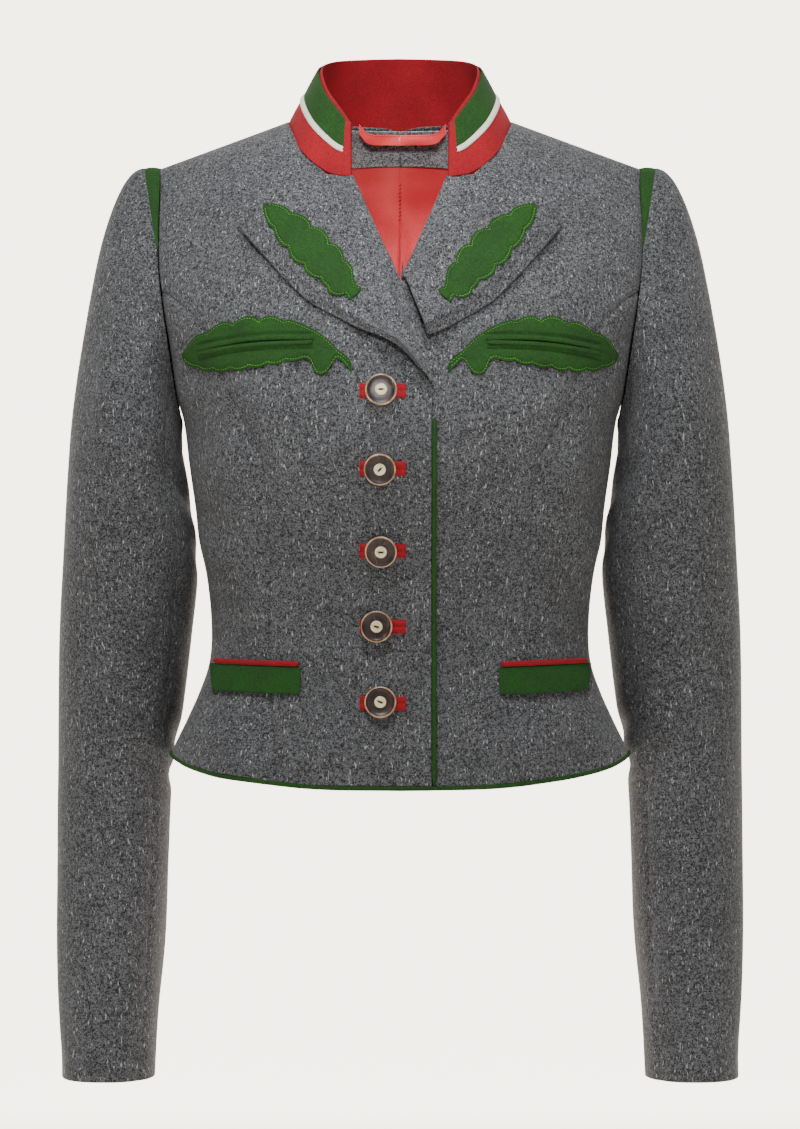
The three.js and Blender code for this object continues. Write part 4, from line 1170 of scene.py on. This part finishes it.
# %% Pockets
POCKET_LIFT = 1.5
POCKET_WALL = 1.4
POCKET_TALL = 17.5
WELT_OFFSETS = {"upper": 1.9, "lower": -1.9}
for side, mirror, overlap in SIDES:
    t = np.linspace(0, 1, 60)
    for name, offset in WELT_OFFSETS.items():
        x, z = slit_line(t, mirror)
        z = z + offset * (0.55 + 0.45 * np.sin(np.pi * t) ** 0.5)
        line, out, across = along_front(x, z, LIFT + FELT + 1.15, side == "right")
        folded(f"felt_welt_breast_{side}_{name}", line, out, across, 1.0, 1.5, GREEN)
    u, v = spread(46)[None, :], spread(16)[:, None]
    x = mix(65.5, 124.5 + (1.5 - 3.2 * v) * 0.8, u) * mirror
    z = mix(-378.8, -377.2, u) + (0.5 - v) * POCKET_TALL
    dome = 0.5 * np.sin(np.pi * v) ** 0.5 * np.sin(np.pi * u) ** 0.2 - 0.35 * bell((v - 0.13) / 0.05)
    sew(f"cloth_pocket_welt_{side}", ground(x, z, POCKET_LIFT + POCKET_WALL + dome), ground(x, z, POCKET_LIFT),
        DARK_GREEN, 0.4)
    t = np.linspace(0, 1, 50)
    line, out, across = along_front(mix(66, 122.5, t) * mirror, mix(-367.8, -366.4, t), POCKET_LIFT + 1.3)
    folded(f"cloth_pocket_piping_{side}", line, out, across, 1.75, 1.75, RED)

# %% [markdown]
# ## Collar
# The stand collar is banded: red at the neck, a white cord in the seam, then green, with a red inner face and
# red bound ends. It stands on the neck seam and leans in a little, so only its sides show from the front.

# %% Collar bands
EDGE_TURN = 0.95
BAND_WALL = 1.6
INNER_GAP = 0.8
INNER_WALL = 1.3


def collar_point(turn, share, depth):
    at = np.abs(turn)
    base = np.stack([look(COLLAR, f"base_{k}", at) for k in "xyz"], axis=-1)
    top = np.stack([look(COLLAR, f"top_{k}", at) for k in "xyz"], axis=-1)
    p = mix(base, top, np.asarray(share)[..., None])
    outward = unit(np.stack([p[..., 0], p[..., 1] + 6, 0 * at], axis=-1))
    p = p - outward * np.asarray(depth)[..., None]
    p[..., 0] *= np.where(turn < 0, -1, 1)
    return p


def collar_band(name, turns, shares, material, cols, rows, depth=0, wall=BAND_WALL, puff=0.3, waves=0.0,
                bulge=0.35):
    turn, v = np.broadcast_arrays(mix(*turns, spread(cols))[None, :], spread(rows)[:, None])
    share = mix(*shares, v)
    swell = puff * (np.sin(np.pi * v) ** 0.5 - 0.5)
    ripple = waves * np.sin(turn * 19 + 1.5 * np.sin(turn * 7)) * np.sin(np.pi * np.clip(share, 0, 1))
    sew(name, collar_point(turn, share, depth - swell - ripple), collar_point(turn, share, depth + wall - ripple),
        material, bulge)


ROUND = (-EDGE_TURN, EDGE_TURN)
INNER_DEPTH = BAND_WALL + INNER_GAP
collar_band("cloth_collar_red", ROUND, (-0.035, 0.38), RED, 150, 14)
collar_band("felt_collar_green", ROUND, (0.508, 0.975), GREEN, 150, 16)
collar_band("cloth_collar_inner", ROUND, (-0.09, 1.0), RED, 170, 26, INNER_DEPTH, INNER_WALL, -0.2, -0.7)
for side, mirror, overlap in SIDES:
    collar_band(f"cloth_collar_end_{side}", ((EDGE_TURN + 0.006) * mirror, mirror), (-0.035, 1), RED, 10, 34,
                wall=INNER_DEPTH + INNER_WALL, puff=0.5, bulge=1.0)
turn = np.linspace(-EDGE_TURN, EDGE_TURN, 220)
low, centre, high = (collar_point(turn, share + 0 * turn, depth + 0 * turn)
                     for share, depth in ((0.388, 0), (0.444, 0.45), (0.5, 0)))
outward = unit(centre * (1, 1, 0) + (0, 6, 0))
folded("cloth_collar_piping", centre, outward, unit(high - low), 1.6, 2.2, CREAM, twist=0.012)

# %% [markdown]
# ## Inside the back neck
# A facing of the grey wool covers the neck seam inside, and a loop of satin ribbon to hang the jacket by is
# caught in under the collar. Its ends slant down and its middle lies flat across.

# %% Facing, loop and tacks
FACING_DEPTH = 5.2
FACING_WALL = 1.2
FACING_HALF = 66
LOOP = table("x z", (-28, 1), (-22, -5), (-8, -5.6), (8, -5.6), (25, -5), (31.5, 1))
LOOP_DEPTH = 9.8
LOOP_TALL = 7
TACK_DEPTH = 6.3


def back_inside(x, z, depth):
    x, z = np.broadcast_arrays(x, z)
    return torso(x, z, True) - torso_normal(x, z, True) * depth


def towards_front(count):
    return np.tile((0.0, -1.0, 0.0), (count, 1))


x, v = mix(-FACING_HALF, FACING_HALF, spread(90))[None, :], spread(22)[:, None]
z = mix(1.4, -22 - 0.0012 * x * x, v)
ripple = 0.35 * np.sin(x / 9 + 1.2) * np.sin(np.pi * v) - 0.5 * bell((v - 0.9) / 0.04)
face = back_inside(x, z, FACING_DEPTH + FACING_WALL + ripple[..., None])
# the facing's paler loden is partly painted light for the inside of the neck
sew("cloth_facing_back_neck", face, back_inside(x, z, FACING_DEPTH), PALE_LODEN_WITH_PAINTED_LIGHT)

x, v = mix(-28, 31.5, spread(80))[None, :], spread(10)[:, None]
z = look(LOOP, "z", x) - 3 + (0.5 - v) * LOOP_TALL
sag = 0.5 * np.sin(x / 6.5) * np.sin(np.pi * v) + 0.35 * np.sin(np.pi * v)
y = torso(x, 0 * x, True)[..., 1] - LOOP_DEPTH
face = np.stack(np.broadcast_arrays(x, y - sag, z), axis=-1)
sew("satin_hanger_loop", face, face + (0, 0.9, 0), SATIN, bulge=0.25)
a, b = spaced(face[2] - (0, 0.1, 0), 2.0, 1.3)
stitches("thread_hanger_loop", a, b, towards_front(len(a)), 0.35, RED_THREAD)

tack_z = np.arange(-38, -64, -2.6)
starts = np.stack([0 * tack_z - 1.1, 0 * tack_z, tack_z], axis=-1)
ends = starts + (2.2, 0, 1.0)
for row in (starts, ends):
    row[:, 1] = back_inside(row[:, 0], row[:, 2], TACK_DEPTH)[:, 1]
stitches("thread_lining_pleat", starts, ends, towards_front(len(starts)), 0.55, RED_THREAD)

# %% [markdown]
# ## Piping on the edge and the hem
# Green piping closes the edge of the lapping front below the lapel, and runs on round the whole hem.

# %% Edge and hem piping
PIPE_HALF = PIPING / 2
PIPE_ACROSS = 1.3
HEM_GAP = 1.1
level = np.concatenate([[-206, -207.5], np.arange(-210, HEM_Z, -3.2), [HEM_Z]])
x = np.full_like(level, EDGE_X + SEAM + PIPE_HALF)
z = row_z(level, x)
line = ground(x, z, -0.75, lap=True)
out = torso_normal(x, z, False)
edge_out = unit(np.cross(np.gradient(line, axis=0), out))
edge_out *= np.where(edge_out[:, :1] > 0, 1, -1)
folded("felt_piping_front_edge", line, edge_out, out, PIPE_HALF, PIPE_ACROSS, GREEN)

middle_level = np.array([HEM_Z - HEM_GAP - PIPE_HALF])
hem_start, hem_end = (edge_angle(np.array([HEM_Z]), lambda z, level: 0 * z + end, POWERS[False])[0]
                      for end in (-(EDGE_X + SEAM + PIPING), UNDERLAP_X))
HEM_ROUTE = [(-1, False, hem_start, math.pi / 2, 120), (-1, True, math.pi / 2, 0.001, 90),
             (1, True, 0.001, math.pi / 2, 90), (1, False, math.pi / 2, hem_end, 120)]
hem, hem_out = [], []
for part, (mirror, back, start, stop, steps) in enumerate(HEM_ROUTE):
    angle = np.linspace(start, stop, steps + 1)[1 if part else 0:]
    x, z = row_points(middle_level, angle, back)
    normal = unit(torso_normal(x, z, back) * (1, 1, 0))
    rise = lap_rise(-x, z) if mirror < 0 and not back else 0 * x
    soft = soft_height(x * mirror, z, back) * side_fade(x, z)
    points = torso(x, z, back) + normal * (rise + soft - 1.0)[:, None]
    hem.append(points * (mirror, 1, 1))
    hem_out.append(normal * (mirror, 1, 1))
hem, hem_out = np.concatenate(hem), np.concatenate(hem_out)
down = np.tile((0.0, 0.0, -1.0), (len(hem), 1))
folded("felt_piping_hem", hem, down, hem_out, PIPE_HALF, PIPE_ACROSS, GREEN)

# %% [markdown]
# ## Buttonholes and buttons
# Each buttonhole is bound in red cloth: two lips rolled round thin cord meet along the slit. The buttons are horn
# with a small ivory middle and a pale ring round the edge that is a painted highlight, sewn through two holes with
# a bar of dark thread. The bar turns a little from one button to the next, as a hand sews them.

# %% Bound buttonholes
BUTTONS = [(-12.2, -188.5, 0), (-13, -238.3, -45), (-12.4, -292, 4), (-15.2, -342.6, 15), (-12.8, -393.9, 22)]
HOLE_MIDDLE = -11.2
HOLE_LONG = 29.6
HOLE_TALL = 9.4
for number, (bx, bz, _) in enumerate(BUTTONS, 1):
    u, v = spread(44)[None, :], spread(26)[:, None]
    x = HOLE_MIDDLE + (u - 0.5) * HOLE_LONG
    z = bz + (0.5 - v) * HOLE_TALL * (1 - 0.06 * np.sin(9 * u))
    lips = 0.95 * np.abs(np.sin(2 * np.pi * v)) ** 0.6
    tuck = 0.3 * (bell((u - 0.03) / 0.02) + bell((u - 0.97) / 0.02))
    face = ground(x, z, LIFT + 0.4 + lips - tuck, lap=True)
    sew(f"cloth_buttonhole_{number}", face, ground(x, z, LIFT - 0.3, lap=True), RED, 0.3)

# %% Buttons
BUTTON_HEIGHT = 2.6
SEGMENTS = 72
BUTTON_PROFILE = [
    # radius, height
    (0.01, 0), (7.6, 0), (9.4, 0.4), (10.2, 1.0), (10.5, 1.7), (10.45, 2.3), (10.1, 2.75), (9.6, 2.95),
    (9.0, 2.9), (8.5, 2.65), (8.1, 2.35), (7.2, 2.12), (5.6, 2.0), (4.4, 1.95), (0.01, 1.95),
]
# the faces of the button's rounded edge that carry the painted highlight
RIM_HIGHLIGHT_BAND = range(4, 7)
MIDDLE_PROFILE = [
    (0.01, 0), (3.7, 0), (3.95, 0.3), (3.85, 0.7), (3.5, 0.95), (3.0, 1.0), (2.5, 0.9), (2.1, 0.82),
    (1.7, 0.8), (1.3, 0.8), (0.9, 0.8), (0.5, 0.8), (0.01, 0.8),
]
WELL = 2.1
HOLE_APART = 1.45


def lathe(name, profile, frame_axes, origin, materials, rim=(), dent=None):
    """A turned piece: its profile is spun round the out direction of frame_axes."""
    right, up, out = frame_axes
    angle = np.linspace(0, 2 * np.pi, SEGMENTS, endpoint=False)
    radius, height = np.array(profile).T
    flat_x = radius[:, None] * np.cos(angle)
    flat_y = radius[:, None] * np.sin(angle)
    level = height[:, None] + 0 * flat_x
    if dent is not None:
        level = level - dent(flat_x, flat_y) * (height[:, None] > 0.5)
    points = (origin + flat_x[..., None] * right + flat_y[..., None] * up + level[..., None] * out).reshape(-1, 3)
    faces = turned_faces(len(profile), SEGMENTS)
    slots = [int(k // SEGMENTS in rim) for k in range(len(faces) - 2)] + [0, 0]
    return add_mesh(name, points, faces, materials, slots)


def stand_for(node):
    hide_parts(node)


for number, (bx, bz, turned) in enumerate(BUTTONS, 1):
    out = torso_normal(np.array([bx]), np.array([bz]), False)[0]
    right = unit(np.cross((0, 0, 1.0), out) * -1)
    up = np.cross(out, right)
    up = up if up[2] > 0 else -up
    c, s = math.cos(math.radians(turned)), math.sin(math.radians(turned))
    axes = (right * c + up * s, up * c - right * s, out)
    origin = torso(np.array([bx]), np.array([bz]), False)[0] + out * (LAP_RISE + BUTTON_HEIGHT)
    # the second finish is the painted highlight on the rounded edge
    disc = lathe(f"horn_button_{number}", BUTTON_PROFILE, axes, origin, [HORN, RIM_PAINTED_HIGHLIGHT], rim=RIM_HIGHLIGHT_BAND)
    stand_for(f"button_{number}")
    well = origin + out * WELL
    middle = lathe(f"ivory_middle_{number}", MIDDLE_PROFILE, axes, well, [IVORY],
                   dent=lambda x, y: 0.55 * (np.hypot(np.abs(x) - HOLE_APART, y) < 0.75))
    stand_for(f"button_middle_{number}")
    bar = well + out * 0.85
    starts, ends = (np.array([bar + axes[0] * far + axes[1] * k for k in (-0.28, 0.28)]) for far in (-1.7, 1.7))
    stitches(f"thread_button_{number}", starts, ends, np.tile(out, (2, 1)), 0.75, THREAD)

# %% [markdown]
# ## Floor and backdrop
# A pale sheet sweeps from the floor up behind the jacket, as in a studio, so there is no horizon.

# %% Stage
FLOOR_Z = -0.76
COVE_RADIUS = 0.8
COVE_HALF = 5.0
FLOOR_FRONT_Y = -3.0
WALL_Y = 1.6
WALL_TOP_Z = 3.0
PAPER_GLOW = 4.4


def make_cove():
    angle = np.radians(np.linspace(-90, 0, 24))
    bend = np.stack([WALL_Y - COVE_RADIUS + COVE_RADIUS * np.cos(angle),
                     FLOOR_Z + COVE_RADIUS + COVE_RADIUS * np.sin(angle)], axis=-1)
    profile = np.concatenate([[(FLOOR_FRONT_Y, FLOOR_Z)], bend, [(WALL_Y, WALL_TOP_Z)]])
    points = [(x, y, z) for y, z in profile for x in (-COVE_HALF, COVE_HALF)]
    faces = [(2 * i, 2 * i + 1, 2 * i + 3, 2 * i + 2) for i in range(len(profile) - 1)]
    mesh = bpy.data.meshes.new("studio_cove")
    mesh.from_pydata(points, [], faces)
    mesh.shade_smooth()
    paper = Shade("studio_paper", roughness=0.95)
    tint = paper.noise(3, detail=1)
    colour = paper.mix(tint, srgb(238, 233, 226), srgb(242, 237, 231))
    across, depth, height = (paper.node("ShaderNodeSeparateXYZ", {}, {0: paper.place}, out=k) for k in range(3))
    middle = 1 - paper.step(across * across, 0.5, 1.6)
    low = 1 - paper.step(height, 0.5, 1.1)
    glow = paper.mix(paper.step(depth, 0.3, 0.75) * middle * low, srgb(70, 69, 66), srgb(246, 236, 222))
    paper.bsdf.inputs["Emission Strength"].default_value = PAPER_GLOW
    mesh.materials.append(paper.feed(base_color=colour, emission_color=glow))
    add_object("studio_cove", mesh)


make_cove()

# %% [markdown]
# ## Finish
# The last cell counts the triangles of all the pieces.

# %% Measure and finish
triangles = sum(len(face.vertices) - 2 for piece in pieces for face in piece.data.polygons)
print("pieces:", len(pieces), "triangles:", triangles)
bpy.context.view_layer.update()
